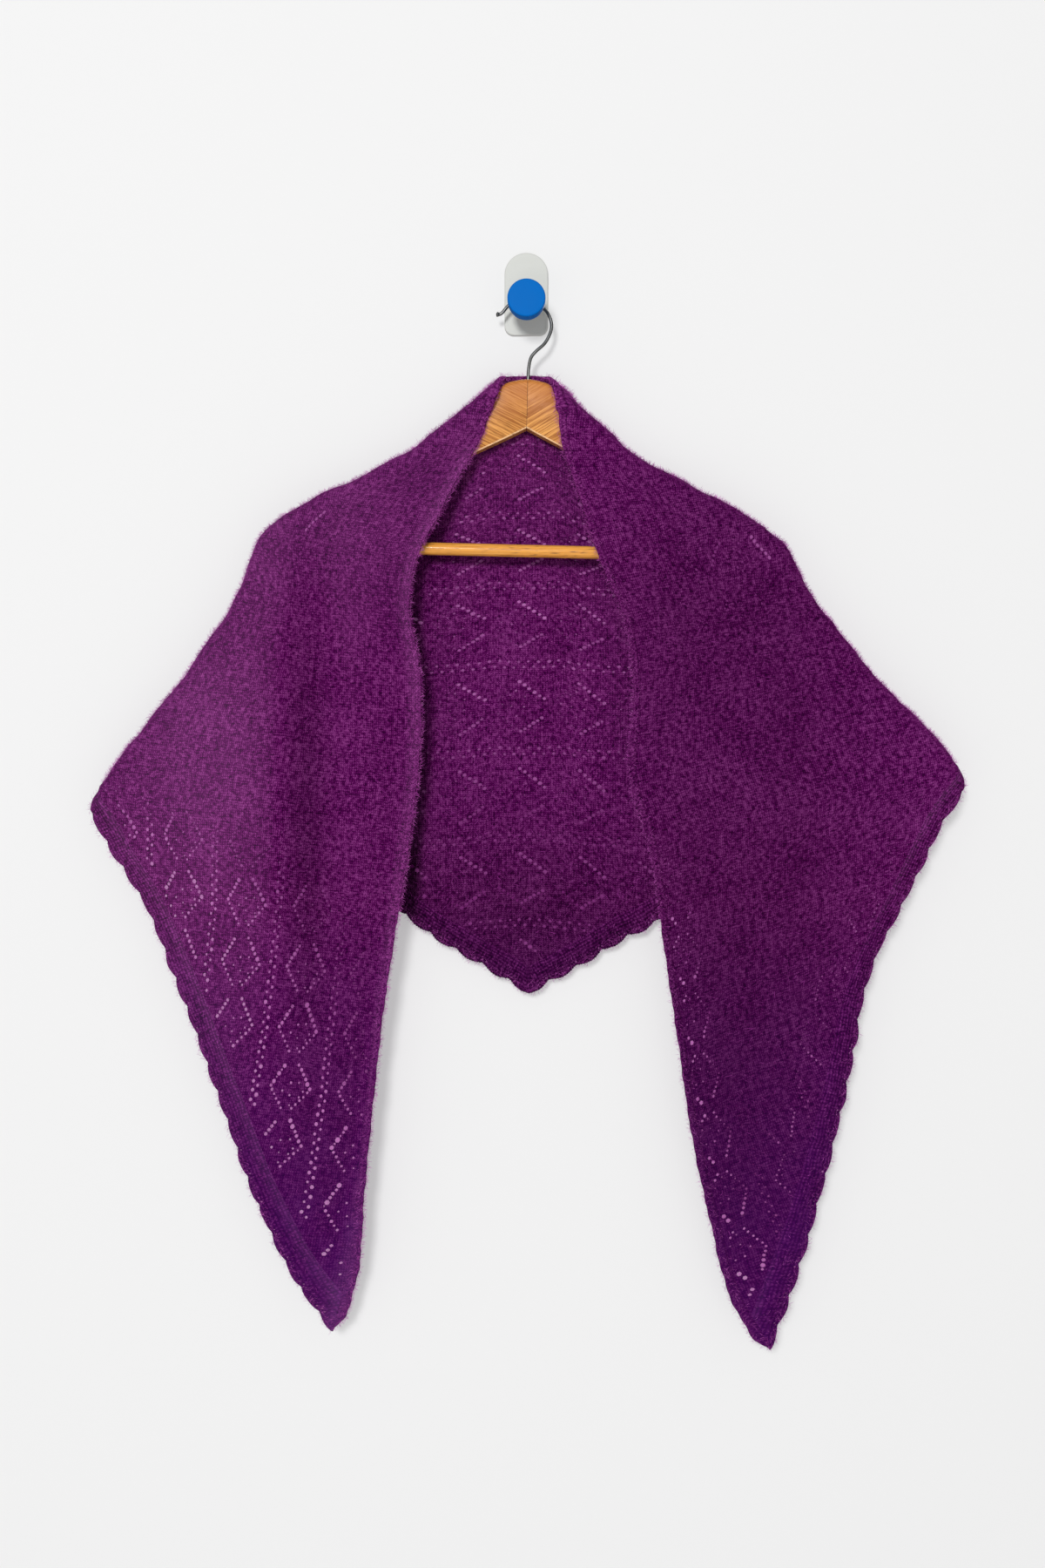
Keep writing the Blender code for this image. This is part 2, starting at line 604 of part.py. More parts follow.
HEM_BACK_STATIONS = np.concatenate([
    stations(0.0, CORNER_IN - CORNER_STEPS[-1], SEAM_STEP * 0.5)[:-1],
    CORNER_IN - np.array(CORNER_STEPS)[::-1], [CORNER_IN]])
EDGE_STATIONS = np.concatenate([
    stations(NECK_IN, 60.0, 5.0), stations(60.0, 820.0, SEAM_STEP)[1:], stations(820.0, TIP_IN, 10.0)[1:]])
BAND_END = SHAWL_HALF * (1.0 - BAND_WIDTH / SHAWL_DROP)
TIP_STATIONS = stations(TIP_IN, BAND_END, 8.0)


def flat_grid():
    s = np.arange(-SHAWL_HALF, SHAWL_HALF + 1, GRID_S)
    v = np.arange(GRID_V * 0.75, SHAWL_DROP, GRID_V)
    grid_s, grid_v = np.meshgrid(s, v)
    grid_s = grid_s + (np.arange(len(v)) % 2)[:, None] * GRID_S / 2
    return np.stack([grid_s.ravel(), grid_v.ravel()], axis=1)


def fold_points(side, towards):
    """Rows of points beside the fold, close enough to draw its round."""
    rows = [np.stack([side * FOLD_STATIONS, fold_line(FOLD_STATIONS) + towards * row], axis=1)
            for row in FOLD_ROWS]
    return np.concatenate(rows)


def make_front(side, name, material, gaps):
    """One front: long edge, fold over the hanger, free fold and hem."""
    low = [at_neck(-SEAM)] + [(u, PANEL_LOW) for u in EDGE_STATIONS[1:-1]] + [at_tip(PANEL_INSET)]
    hem = [(u, float(inset_v(u, PANEL_INSET))) for u in HEM_FRONT_STATIONS[-2:0:-1]]
    hem.append(at_corner(PANEL_INSET, -SEAM))
    fold = [(u, float(fold_line(u)) - SEAM) for u in FOLD_STATIONS[-2:0:-1]]
    grid = flat_grid()
    grid = grid[grid[:, 1] < fold_line(np.abs(grid[:, 0])) - FOLD_ROWS[-1] - CLEAR_OF_FOLD_ROWS]
    grid = grid[grid[:, 0] * side > 0]
    inner = np.concatenate([fold_points(side, -1.0), grid])
    outline = [(side * u, v) for u, v in low + hem + fold]
    return cloth_solid(name, outline, inner, material, gaps)


def make_back(name, material):
    """The back: neck, the two folds and the hem with its point."""
    right_fold = [at_neck(SEAM)] + [(u, float(fold_line(u)) + SEAM) for u in FOLD_STATIONS[1:-1]]
    right_fold.append(at_corner(PANEL_INSET, SEAM))
    left_fold = [(-s, v) for s, v in right_fold]
    right_hem = [(u, float(inset_v(u, PANEL_INSET))) for u in HEM_BACK_STATIONS[-2::-1]]
    left_hem = [(-s, v) for s, v in right_hem[-2::-1]]
    neck = [(s, PANEL_LOW) for s in NECK_STATIONS[1:-1]]
    grid = flat_grid()
    grid = grid[grid[:, 1] > fold_line(np.abs(grid[:, 0])) + FOLD_ROWS[-1] + CLEAR_OF_FOLD_ROWS]
    inner = np.concatenate([fold_points(-1, 1.0), fold_points(1, 1.0), grid])
    outline = neck + right_fold + right_hem + left_hem + left_fold[::-1]
    return cloth_solid(name, outline, inner, material)


def hem_distance_inside(s, v):
    """How far inside the hem line a flat place lies."""
    return (hem_line(np.abs(s)) - v) * math.cos(HEM_ANGLE)


def edging_curl(s, v):
    """The rim's lift, less where it turns round the corner and at the point."""
    share = np.clip((CURL_WIDTH - hem_distance_inside(s, v)) / (CURL_WIDTH + SCALLOP_RISE), 0, 1)
    u = np.abs(s)
    free = np.clip(np.abs(u - CORNER_AT) / CORNER_FADE, 0, 1)
    free = free * np.clip((SHAWL_HALF - u) / TIP_FADE, 0, 1)
    return EDGING_CURL * share * share * free


EDGING_LINES = (5.0, 10.5)


def edging_rows(side, start, end):
    """Points inside the edging, on two lines along it."""
    distances = stations(start, end, SCALLOP_PITCH / 2)
    rows = []
    for inset in EDGING_LINES:
        u = distances * math.cos(HEM_ANGLE) - inset * math.sin(HEM_ANGLE)
        v = SHAWL_DROP - distances * math.sin(HEM_ANGLE) - inset * math.cos(HEM_ANGLE)
        rows.append(np.stack([side * u, v], axis=1))
    return np.concatenate(rows)


def corner_rows(side, towards):
    """Closer points where the edging turns round the fold at the corner."""
    rows = []
    for inset in EDGING_LINES:
        fold_at = at_corner(inset, 0.0)[0]
        rows += [(side * (fold_at + towards * step), float(inset_v(fold_at + towards * step, inset)))
                 for step in CORNER_STEPS]
    return np.array(rows)


def corner_out(offset):
    """Where the scalloped rim crosses the fold line at the corner."""
    def past_rim(distance):
        u, v = scallop_point(1, distance)
        return v - float(fold_line(u)) - offset
    return solve(past_rim, 400.0, 620.0)


def fold_across_edging(past_fold):
    """Points along the fold where it crosses the edging, from the inside out."""
    inner = at_corner(EDGING_WIDTH - SEAM, past_fold)[0]
    outer = scallop_point(1, corner_out(past_fold))[0]
    return [(u, float(fold_line(u)) + past_fold) for u in np.linspace(inner, outer, 5)[1:-1]]


def make_front_edging(side, name, material):
    start = corner_out(-SEAM)
    tip = solve(lambda d: scallop_point(1, d)[1] - PANEL_LOW, 900.0, HEM_LENGTH)
    inset = EDGING_WIDTH - SEAM
    inner_edge = [(u, float(inset_v(u, inset))) for u in HEM_FRONT_STATIONS[1:-1]]
    inner_edge = [at_corner(inset, -SEAM)] + inner_edge + [at_tip(inset)]
    inner_edge += [(u, PANEL_LOW) for u in TIP_STATIONS[1:]]
    fold = [(side * u, v) for u, v in fold_across_edging(-SEAM)[::-1]]
    inner_edge = [(side * u, v) for u, v in inner_edge]
    run = scallop_run(side, start + CLEAR_OF_SEAM_ENDS, tip - CLEAR_OF_SEAM_ENDS)
    rim = [scallop_point(side, tip)] + run[::-1]
    rim.append(scallop_point(side, start))
    rows = edging_rows(side, start + CORNER_CLEAR, tip - TIP_CLEAR)
    inner = np.concatenate([corner_rows(side, 1.0), rows])
    return cloth_solid(name, inner_edge + rim + fold, inner, material, curl=edging_curl)


def make_back_edging(name, material):
    end = corner_out(SEAM)
    inset = EDGING_WIDTH - SEAM
    right_in = [(u, float(inset_v(u, inset))) for u in HEM_BACK_STATIONS[:-1]]
    right_in.append(at_corner(inset, SEAM))
    left_in = [(-s, v) for s, v in right_in[:0:-1]]
    point = (0.0, SHAWL_DROP + scallop(0.0) / math.cos(HEM_ANGLE))
    right_rim = fold_across_edging(SEAM) + [scallop_point(1, end)]
    right_rim += scallop_run(1, CLEAR_OF_SEAM_ENDS, end - CLEAR_OF_SEAM_ENDS)[::-1]
    left_rim = [(-s, v) for s, v in right_rim[::-1]]
    inner = np.concatenate([
        edging_rows(-1, POINT_CLEAR, end - CORNER_CLEAR),
        edging_rows(1, POINT_CLEAR, end - CORNER_CLEAR),
        corner_rows(-1, -1.0), corner_rows(1, -1.0)])
    outline = left_in + right_in + right_rim + [point] + left_rim
    return cloth_solid(name, outline, inner, material, curl=edging_curl)


def make_band(name, places, material):
    """The rolled selvedge: a flattened bead swept along the long edge."""
    sides = BAND_SIDES
    turns = (np.arange(sides) + 0.5) * 2 * math.pi / sides
    half_width = (BAND_WIDTH / 2 - SEAM) / math.cos(math.pi / sides)
    half_thick = BAND_THICK / 2 / math.cos(math.pi / sides)
    middle = BAND_WIDTH / 2
    rings = []
    for s in places:
        v = middle + half_width * np.cos(turns)
        rings.append(off_the_cloth(np.full(sides, s), v, half_thick * np.sin(turns)))
    points = np.concatenate(rings)
    faces = []
    for ring in range(len(places) - 1):
        a, b = ring * sides, (ring + 1) * sides
        for i in range(sides):
            j = (i + 1) % sides
            faces.append((a + i, a + j, b + j, b + i))
    faces.append(tuple(range(sides)))
    faces.append(tuple(reversed(range(len(points) - sides, len(points)))))
    return object_from_faces(name, points, faces, material, smooth_angle=70.0)


def make_shawl(materials):
    cloth, trim = materials["mohair"], materials["mohair_edge"]
    gaps = gap_rings()
    make_back("shawl_back", cloth)
    make_front(-1, "shawl_front_left", cloth, gaps)
    make_front(1, "shawl_front_right", cloth, gaps)
    make_back_edging("edging_back", trim)
    make_front_edging(-1, "edging_front_left", trim)
    make_front_edging(1, "edging_front_right", trim)
    front_places = np.concatenate([EDGE_STATIONS, TIP_STATIONS[1:]])
    front_places[0] = NECK_IN + SEAM
    make_band("selvedge_left", -front_places, trim)
    make_band("selvedge_right", front_places, trim)
    neck_places = NECK_STATIONS.copy()
    neck_places[0] += SEAM
    neck_places[-1] -= SEAM
    make_band("selvedge_neck", neck_places, trim)


# ================================================================= the hanger
def arm_ring(top, bottom, off, thick):
    """A rounded upright section of an arm: places (off the wall, down)."""
    half_thick, half_high = thick / 2, (bottom - top) / 2
    corner = min(ARM_CORNER, half_thick - ARM_FLAT, half_high - ARM_FLAT)
    ring = []
    for quarter in range(4):
        side_off = 1 if quarter in (0, 3) else -1
        side_down = 1 if quarter in (0, 1) else -1
        for step in range(4):
            turn = math.pi / 2 * (quarter + step / 3)
            ring.append((off + side_off * (half_thick - corner) + corner * math.cos(turn),
                         (top + bottom) / 2 + side_down * (half_high - corner) + corner * math.sin(turn)))
    return ring


def tilt(points):
    """The hanger hangs a little low on the right: turn it about its stem."""
    turn = Matrix.Rotation(-HANGER_TILT, 3, "Y")
    pivot = Vector((HANGER_X, 0.0, -ARM[0][1]))
    return [turn @ (Vector(point) - pivot) + pivot for point in points]


def cut(piece, cutter):
    """Take the cutter's shape out of a piece for good."""
    modifier = piece.modifiers.new("cut", "BOOLEAN")
    modifier.operation = "DIFFERENCE"
    modifier.solver = "EXACT"
    modifier.object = cutter
    shaped = bpy.data.meshes.new_from_object(piece.evaluated_get(bpy.context.evaluated_depsgraph_get()))
    piece.modifiers.remove(modifier)
    piece.data = shaped
    bpy.data.objects.remove(cutter)


def rod_points(start, end, radius, sides):
    """The two end rings of a straight rod, and its faces."""
    axis = (Vector(end) - Vector(start)).normalized()
    across = axis.cross(Vector((0.0, 1.0, 0.0))).normalized()
    up = axis.cross(across)
    turns = [2 * math.pi * i / sides for i in range(sides)]
    points = [Vector(middle) + radius * (math.cos(t) * across + math.sin(t) * up)
              for middle in (start, end) for t in turns]
    faces = [(i, (i + 1) % sides, sides + (i + 1) % sides, sides + i) for i in range(sides)]
    faces += [tuple(range(sides)), tuple(range(2 * sides - 1, sides - 1, -1))]
    return points, faces


def make_rod(name, start, end, radius, sides, material):
    points, faces = rod_points(start, end, radius, sides)
    return object_from_faces(name, tilt(points), faces, material)


def make_arm(side, name, materials):
    """One glued half of the hanger, from the joint under the hook to its end."""
    points = []
    for out, top, bottom, off, thick in ARM:
        points += [(HANGER_X + side * out, -ring_off, -ring_down)
                   for ring_off, ring_down in arm_ring(top, bottom, off, thick)]
    count = len(arm_ring(*ARM[0][1:]))
    faces = [tuple(range(count)), tuple(range(len(points) - 1, len(points) - count - 1, -1))]
    for row in range(len(ARM) - 1):
        a, b = row * count, (row + 1) * count
        faces += [(a + i, b + i, b + (i + 1) % count, a + (i + 1) % count) for i in range(count)]
    arm = object_from_faces(name, tilt(points), faces, materials["honey_wood"], smooth_angle=35.0)
    socket_end = BAR_HALF + SOCKET_CLEARANCE
    socket = make_rod("socket", (HANGER_X + side * SOCKET_FROM, -BAR_OFF, -BAR_DOWN),
                      (HANGER_X + side * socket_end, -BAR_OFF, -BAR_DOWN),
                      BAR_RADIUS + SOCKET_CLEARANCE, BAR_SIDES, materials["honey_wood"])
    cut(arm, socket)
    stem_top = ARM[0][1] - WIRE_RADIUS
    stem_low = -HOOK[0][1] + SOCKET_CLEARANCE
    stem = make_rod("stem_hole", (HANGER_X, -ARM[0][3], -stem_top), (HANGER_X, -ARM[0][3], -stem_low),
                    WIRE_RADIUS + STEM_CLEARANCE, HOOK_SIDES, materials["honey_wood"])
    cut(arm, stem)
    arm.data.materials.clear()
    arm.data.materials.append(materials["honey_wood"])


def make_hook(material):
    """The wire hook: a bent wire of even thickness that ends in a small ball."""
    rows = np.array(HOOK, float)
    steps = np.arange((len(rows) - 1) * HOOK_STEPS + 1) / HOOK_STEPS
    route = smooth_curve(np.arange(len(rows)), rows, steps)
    places = [Vector((x, -off, z)) for x, z, off in route]
    radii = [WIRE_RADIUS] * len(places)
    radii[-len(TIP_RADII):] = TIP_RADII
    points, across = [], Vector((0.0, 1.0, 0.0))
    for i, middle in enumerate(places):
        ahead = places[min(i + 1, len(places) - 1)] - places[max(i - 1, 0)]
        axis = ahead.normalized()
        across = (across - axis * across.dot(axis)).normalized()
        up = axis.cross(across)
        for side in range(HOOK_SIDES):
            turn = 2 * math.pi * side / HOOK_SIDES
            points.append(middle + radii[i] * (math.cos(turn) * across + math.sin(turn) * up))
    faces = [tuple(range(HOOK_SIDES)),
             tuple(range(len(points) - 1, len(points) - HOOK_SIDES - 1, -1))]
    for row in range(len(places) - 1):
        a, b = row * HOOK_SIDES, (row + 1) * HOOK_SIDES
        faces += [(a + i, b + i, b + (i + 1) % HOOK_SIDES, a + (i + 1) % HOOK_SIDES)
                  for i in range(HOOK_SIDES)]
    object_from_faces("hanger_hook", points, faces, material)


def make_hanger(materials):
    make_arm(-1, "hanger_arm_left", materials)
    make_arm(1, "hanger_arm_right", materials)
    make_rod("trouser_bar", (HANGER_X - BAR_HALF, -BAR_OFF, -BAR_DOWN),
             (HANGER_X + BAR_HALF, -BAR_OFF, -BAR_DOWN), BAR_RADIUS, BAR_SIDES, materials["honey_wood"])
    make_hook(materials["nickel_wire"])


# ============================================================== the wall hook
def make_plate(material):
    """The stuck-on wall plate: round head, soft foot, its front edge rounded."""
    half = PLATE_WIDTH / 2
    head = PLATE_TOP - half
    outline = [(half * math.cos(t), head + half * math.sin(t)) for t in np.linspace(0, math.pi, 19)]
    foot = PLATE_BOTTOM + PLATE_FOOT_RADIUS
    inner = half - PLATE_FOOT_RADIUS
    for start, centre_x in ((math.pi, -inner), (1.5 * math.pi, inner)):
        outline += [(centre_x + PLATE_FOOT_RADIUS * math.cos(t), foot + PLATE_FOOT_RADIUS * math.sin(t))
                    for t in np.linspace(start, start + math.pi / 2, 6)]
    work = bmesh.new()
    corners = [work.verts.new((x * MM, 0.0, z * MM)) for x, z in outline]
    back = work.faces.new(corners)
    pulled = bmesh.ops.extrude_face_region(work, geom=[back])
    moved = [item for item in pulled["geom"] if isinstance(item, bmesh.types.BMVert)]
    bmesh.ops.translate(work, verts=moved, vec=(0.0, -PLATE_THICK * MM, 0.0))
    front_rim = [edge for edge in work.edges if all(vert in moved for vert in edge.verts)]
    bmesh.ops.bevel(work, geom=front_rim, offset=PLATE_BEVEL * MM, segments=2, affect="EDGES", profile=0.5)
    bmesh.ops.recalc_face_normals(work, faces=work.faces)
    mesh = bpy.data.meshes.new("wall_plate")
    work.to_mesh(mesh)
    work.free()
    mesh.shade_smooth()
    mesh.set_sharp_from_angle(angle=math.radians(35))
    make_object("wall_plate", mesh, material)


def turned(name, profile, sides, material):
    """A solid turned about the peg's axis; the profile is (off the wall, radius)."""
    points, faces = [], []
    for off, radius in profile:
        points += [(radius * math.cos(2 * math.pi * i / sides), -off, radius * math.sin(2 * math.pi * i / sides))
                   for i in range(sides)]
    for row in range(len(profile) - 1):
        a, b = row * sides, (row + 1) * sides
        faces += [(a + i, a + (i + 1) % sides, b + (i + 1) % sides, b + i) for i in range(sides)]
    faces += [tuple(range(sides)), tuple(range(len(points) - 1, len(points) - sides - 1, -1))]
    object_from_faces(name, points, faces, material, smooth_angle=35.0)


def make_wall_hook(materials):
    make_plate(materials["white_plastic"])
    turned("wall_peg", PEG_PROFILE, PEG_SIDES, materials["peg_plastic"])
    turned("wall_knob", KNOB_PROFILE, KNOB_SIDES, materials["blue_plastic"])


def main():
    for existing in list(bpy.data.objects):
        bpy.data.objects.remove(existing)
    materials = {name: make_material(name) for name in COLOURS}
    make_shawl(materials)
    make_hanger(materials)
    make_wall_hook(materials)


main()
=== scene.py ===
# %% [markdown]
# # A lace shawl on a wooden hanger
# A knitted triangle of mohair lace hangs over a suit hanger, and the hanger hangs from a round-knobbed wall hook.
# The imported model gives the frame: its solids say where every piece is. This lesson dresses them one by one, from
# the cloth, which is the main form, to the wood, the wire and the plastic that hold it.

# %% Load the frame
import math

import bpy
import numpy as np
from mathutils import Matrix, Vector
from mathutils.geometry import delaunay_2d_cdt
from mathutils.kdtree import KDTree


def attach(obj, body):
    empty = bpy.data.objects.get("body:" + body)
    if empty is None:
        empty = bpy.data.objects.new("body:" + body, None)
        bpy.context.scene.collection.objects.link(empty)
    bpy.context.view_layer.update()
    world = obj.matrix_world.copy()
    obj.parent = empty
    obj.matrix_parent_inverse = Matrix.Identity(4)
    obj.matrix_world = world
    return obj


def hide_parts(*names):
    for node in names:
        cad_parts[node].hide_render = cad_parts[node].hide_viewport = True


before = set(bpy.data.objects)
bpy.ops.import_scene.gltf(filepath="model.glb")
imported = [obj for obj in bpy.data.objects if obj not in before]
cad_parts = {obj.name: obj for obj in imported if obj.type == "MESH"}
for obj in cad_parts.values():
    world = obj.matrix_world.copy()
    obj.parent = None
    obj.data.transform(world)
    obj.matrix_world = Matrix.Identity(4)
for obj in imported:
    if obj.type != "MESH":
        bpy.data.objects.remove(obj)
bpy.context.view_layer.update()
MM = 0.001

# %% [markdown]
# ## Camera, wall, floor and light
# The shawl hangs flat on a pale wall and is looked at straight on, from 1.5 m away and level with its middle. A wide
# soft lamp stands to the upper left, so the shadow falls short and soft to the lower right, and the sky fills in
# from all round. The wall glows a little, as a wall in a pale room does, so its shadows stay light. Its back is
# clear, so the piece can also be looked at from behind.

# %% Camera
CAMERA_AT = (-0.0034, -1.5, -0.4175)
SENSOR_TALL, FOCAL_LENGTH = 36.0, 38.96     # millimetres


def placed(name, data, at=(0.0, 0.0, 0.0)):
    """A new object in the scene."""
    thing = bpy.data.objects.new(name, data)
    bpy.context.scene.collection.objects.link(thing)
    thing.location = at
    return thing


lens = bpy.data.cameras.new("camera")
lens.sensor_fit = "VERTICAL"
lens.sensor_height, lens.lens = SENSOR_TALL, FOCAL_LENGTH
camera = placed("camera", lens, CAMERA_AT)
camera.rotation_euler = (math.pi / 2, 0.0, 0.0)
bpy.context.scene.camera = camera
print("camera at", CAMERA_AT, "lens", FOCAL_LENGTH)

# %% [markdown]
# ## Nodes by name
# Every finish and every pattern of small pieces is a tree of nodes. Three helpers keep the trees short to read: one
# fills a node's inputs, one adds a node, and a Value lets Python's own signs add the Math nodes.


# %% Helpers for trees of nodes
class Value:
    """An output in a tree that can be reckoned with: each sign adds one Math node."""

    def __init__(self, tree, socket):
        self.tree, self.socket = tree, socket

    def math(self, operation, *others, clamp=False):
        inputs = dict(enumerate((self, *others)))
        return Value(self.tree, add_node(self.tree, "ShaderNodeMath", inputs, operation=operation,
                                         use_clamp=clamp).outputs[0])

    def __add__(self, other):
        return self.math("ADD", other)

    def __sub__(self, other):
        return self.math("SUBTRACT", other)

    def __mul__(self, other):
        return self.math("MULTIPLY", other)

    def __truediv__(self, other):
        return self.math("DIVIDE", other)

    def __abs__(self):
        return self.math("ABSOLUTE")

    def times_plus(self, factor, more, clamp=False):
        return self.math("MULTIPLY_ADD", factor, more, clamp=clamp)

    def spread(self, low, high):
        """Stretched so that low becomes 0 and high becomes 1."""
        inputs = dict(enumerate((self, low, high, 0.0, 1.0)))
        return Value(self.tree, add_node(self.tree, "ShaderNodeMapRange", inputs).outputs[0])


def fill(tree, node, inputs):
    """Link each input to an output, or set its value; a colour may leave out its alpha."""
    for label, value in inputs.items():
        socket = node.inputs[label]
        value = value.socket if isinstance(value, Value) else value
        if isinstance(value, bpy.types.NodeSocket):
            tree.links.new(value, socket)
        else:
            socket.default_value = (*value, 1.0) if socket.type == "RGBA" and len(value) == 3 else value
    return node


def add_node(tree, kind, inputs={}, **settings):
    """A new node with its settings and its inputs."""
    node = tree.nodes.new(kind)
    for name, value in settings.items():
        setattr(node, name, value)
    return fill(tree, node, inputs)


def new_material(name, colour, roughness=0.5, metallic=0.0, inputs={}):
    """A material with one shader, whose other sockets are filled in as they are needed."""
    material = bpy.data.materials.new(name)
    material.use_nodes = True
    tree = material.node_tree
    shader = tree.nodes["Principled BSDF"]
    fill(tree, shader, {"Base Color": colour, "Roughness": roughness, "Metallic": metallic, **inputs})
    return material, tree, shader


# %% Wall and floor
WALL_OFF = 0.0006          # just behind the wall plate
WALL_GREY, WALL_GLOW = (0.48, 0.48, 0.48), 0.353
FLOOR_AT, WALL_TOP = -1.75, 3.0
WIDE, NEAR, FAR = 4.0, -5.0, 4.0


def stage_plane(name, corners, material):
    mesh = bpy.data.meshes.new(name)
    mesh.from_pydata(corners, [], [(0, 1, 2, 3)])
    mesh.materials.append(material)
    plane = placed(name, mesh)
    return plane


wall_paint, tree, shader = new_material("wall_paint", WALL_GREY, 0.9, inputs={
    "Emission Color": (1.0, 1.0, 1.0), "Emission Strength": WALL_GLOW, "Specular IOR Level": 0.0})
see_through = add_node(tree, "ShaderNodeBsdfTransparent")
which_side = add_node(tree, "ShaderNodeNewGeometry")
mix = add_node(tree, "ShaderNodeMixShader", {
    0: which_side.outputs["Backfacing"], 1: shader.outputs[0], 2: see_through.outputs[0]})
fill(tree, tree.nodes["Material Output"], {"Surface": mix.outputs[0]})
wall = stage_plane("wall", [(x, WALL_OFF, z) for x, z in (
    (-WIDE, FLOOR_AT), (WIDE, FLOOR_AT), (WIDE, WALL_TOP), (-WIDE, WALL_TOP))], wall_paint)
wall.visible_shadow = wall.visible_diffuse = wall.visible_glossy = False
floor_paint, _, _ = new_material("floor_paint", (0.8, 0.8, 0.8), 0.9)
floor = stage_plane("floor", [(x, y, FLOOR_AT) for x, y in (
    (-WIDE, NEAR), (WIDE, NEAR), (WIDE, FAR), (-WIDE, FAR))], floor_paint)
print("stage:", wall.name, floor.name)

# %% Lights
SKY = 0.34
# columns: name, place, size, power
LAMPS = [
    ("key", (-1.05, -5.5, 1.15), 1.1, 222.0),
    ("fill", (0.6, -3.6, -0.2), 1.6, 6.0),
    ("rear", (0.6, 2.2, 0.8), 1.4, 30.0),
]
LAMPS_AIM = Vector((0.0, 0.0, -0.4))
world = bpy.data.worlds.new("pale_room")
world.use_nodes = True
fill(world.node_tree, world.node_tree.nodes["Background"], {"Color": (1.0, 1.0, 1.0), "Strength": SKY})
bpy.context.scene.world = world
bpy.context.scene.view_settings.view_transform = "Standard"
for name, place, size, power in LAMPS:
    lamp = bpy.data.lights.new(name, "AREA")
    lamp.size, lamp.energy = size, power
    holder = placed(name, lamp, place)
    holder.rotation_euler = (LAMPS_AIM - Vector(place)).to_track_quat("-Z", "Y").to_euler()
print("lamps:", [row[0] for row in LAMPS])

# %% [markdown]
# ## How the shawl hangs
# A stitch is named by its flat place: s along the long edge, 0 in the middle and growing to the right, and v across
# the cloth from that edge to the back point. The tables give the sections that carry the cloth: the rim over the
# hanger, the long edge down both fronts, the hem of the back and the round of the fold. Because all of the
# cloth is laid on one surface, its pieces join without a step, and patterns drawn flat land where they belong.

# %% The flat cut, in millimetres
SHAWL_HALF = 885.0        # half of the long edge
SHAWL_DROP = 545.0        # long edge to back point
BAND_WIDTH = 5.5          # rolled selvedge along the long edge
BAND_THICK = 4.0
EDGING_WIDTH = 16.0       # knitted-on scalloped edging along the two short sides
SCALLOP_PITCH = 26.8
SCALLOP_RISE = 3.5
FIRST_NOTCH = 20.0        # from the back point to the first notch
EDGING_CURL = 2.5         # how far the bound-off rim curls to the front
CURL_WIDTH = 9.0
CORNER_FADE, TIP_FADE = 45.0, 50.0      # the curl dies out this near a corner and a tip
HEM_ANGLE = math.atan2(SHAWL_DROP, SHAWL_HALF)
HEM_LENGTH = math.hypot(SHAWL_HALF, SHAWL_DROP)
# the fold runs along the hanger's top from the neck to the shoulder, and from
# there it hangs free down to the corner on the hem
NECK_AT = 23.0
SHOULDER_AT, SHOULDER_V = 195.0, 165.0
FREE_FOLD_RISE = 0.437
CORNER_AT = (SHAWL_DROP - SHOULDER_V + FREE_FOLD_RISE * SHOULDER_AT) / (
    FREE_FOLD_RISE + SHAWL_DROP / SHAWL_HALF)
print("shawl:", 2 * SHAWL_HALF, "by", SHAWL_DROP, "mm, corners at", round(CORNER_AT))

# %% The sections of the hanging cloth, in millimetres
# Each row is one section across the cloth, at a distance "along" the long
# edge. "out" is the distance to the viewer's left or right of the peg, "down"
# the distance below it and "off" the distance from the wall.

# the rim: neck edge, then fold over the hanger, free fold, and hem to the tip
# columns: along, out, down
RIM_LEFT = [
    (12, 12, 60.5), (23, 22, 63.5), (50, 52.5, 90), (90, 97, 126), (130, 147, 153),
    (165, 192.5, 175), (195, 226, 199.5), (240, 244, 246), (300, 281, 304),
    (370, 330, 368), (420, 363.5, 413), (442, 376.5, 434), (465, 366, 458),
    (520, 333, 512), (600, 297, 598), (680, 266, 684), (760, 235, 770),
    (830, 200, 844), (885, 162, 895),
]
RIM_MIDDLE = (0, 0, 60.5)
RIM_RIGHT = [
    (12, 13, 60.5), (23, 24, 63.5), (50, 51.5, 94), (90, 94.5, 132), (130, 144.5, 161),
    (165, 188, 184), (195, 219.5, 208.5), (240, 243.5, 252), (300, 282, 302),
    (370, 333, 357), (420, 369, 396), (442, 379, 415), (465, 364, 440),
    (520, 335, 498), (600, 295, 583), (680, 276, 676), (760, 254, 769),
    (830, 230, 849), (885, 206.5, 913),
]

# the long edge on the two fronts, from the hanger to the tips
# columns: along, out, down, off
EDGE_LEFT = [
    (50, 29, 92, 31), (90, 44, 128, 34), (130, 63, 162, 39), (165, 78, 193, 43),
    (195, 92, 219, 46), (240, 100, 261, 49), (300, 91, 321, 50), (370, 91, 390, 50),
    (442, 99, 461, 48), (520, 111, 537, 45), (600, 123, 615, 42), (680, 132, 694, 40),
    (760, 140, 773, 37), (830, 146, 842, 34), (885, 162, 895, 31),
]
EDGE_RIGHT = [
    (50, 26, 92, 31), (90, 33, 132, 34), (130, 46, 170, 38), (165, 56, 205, 42),
    (195, 66, 233, 45), (240, 84, 276, 47), (300, 92, 336, 48), (370, 88, 407, 48),
    (442, 107, 477, 46), (520, 118, 556, 43), (600, 130, 636, 41), (680, 142, 717, 38),
    (760, 159, 796, 36), (830, 178, 865, 34), (885, 206.5, 913, 32),
]

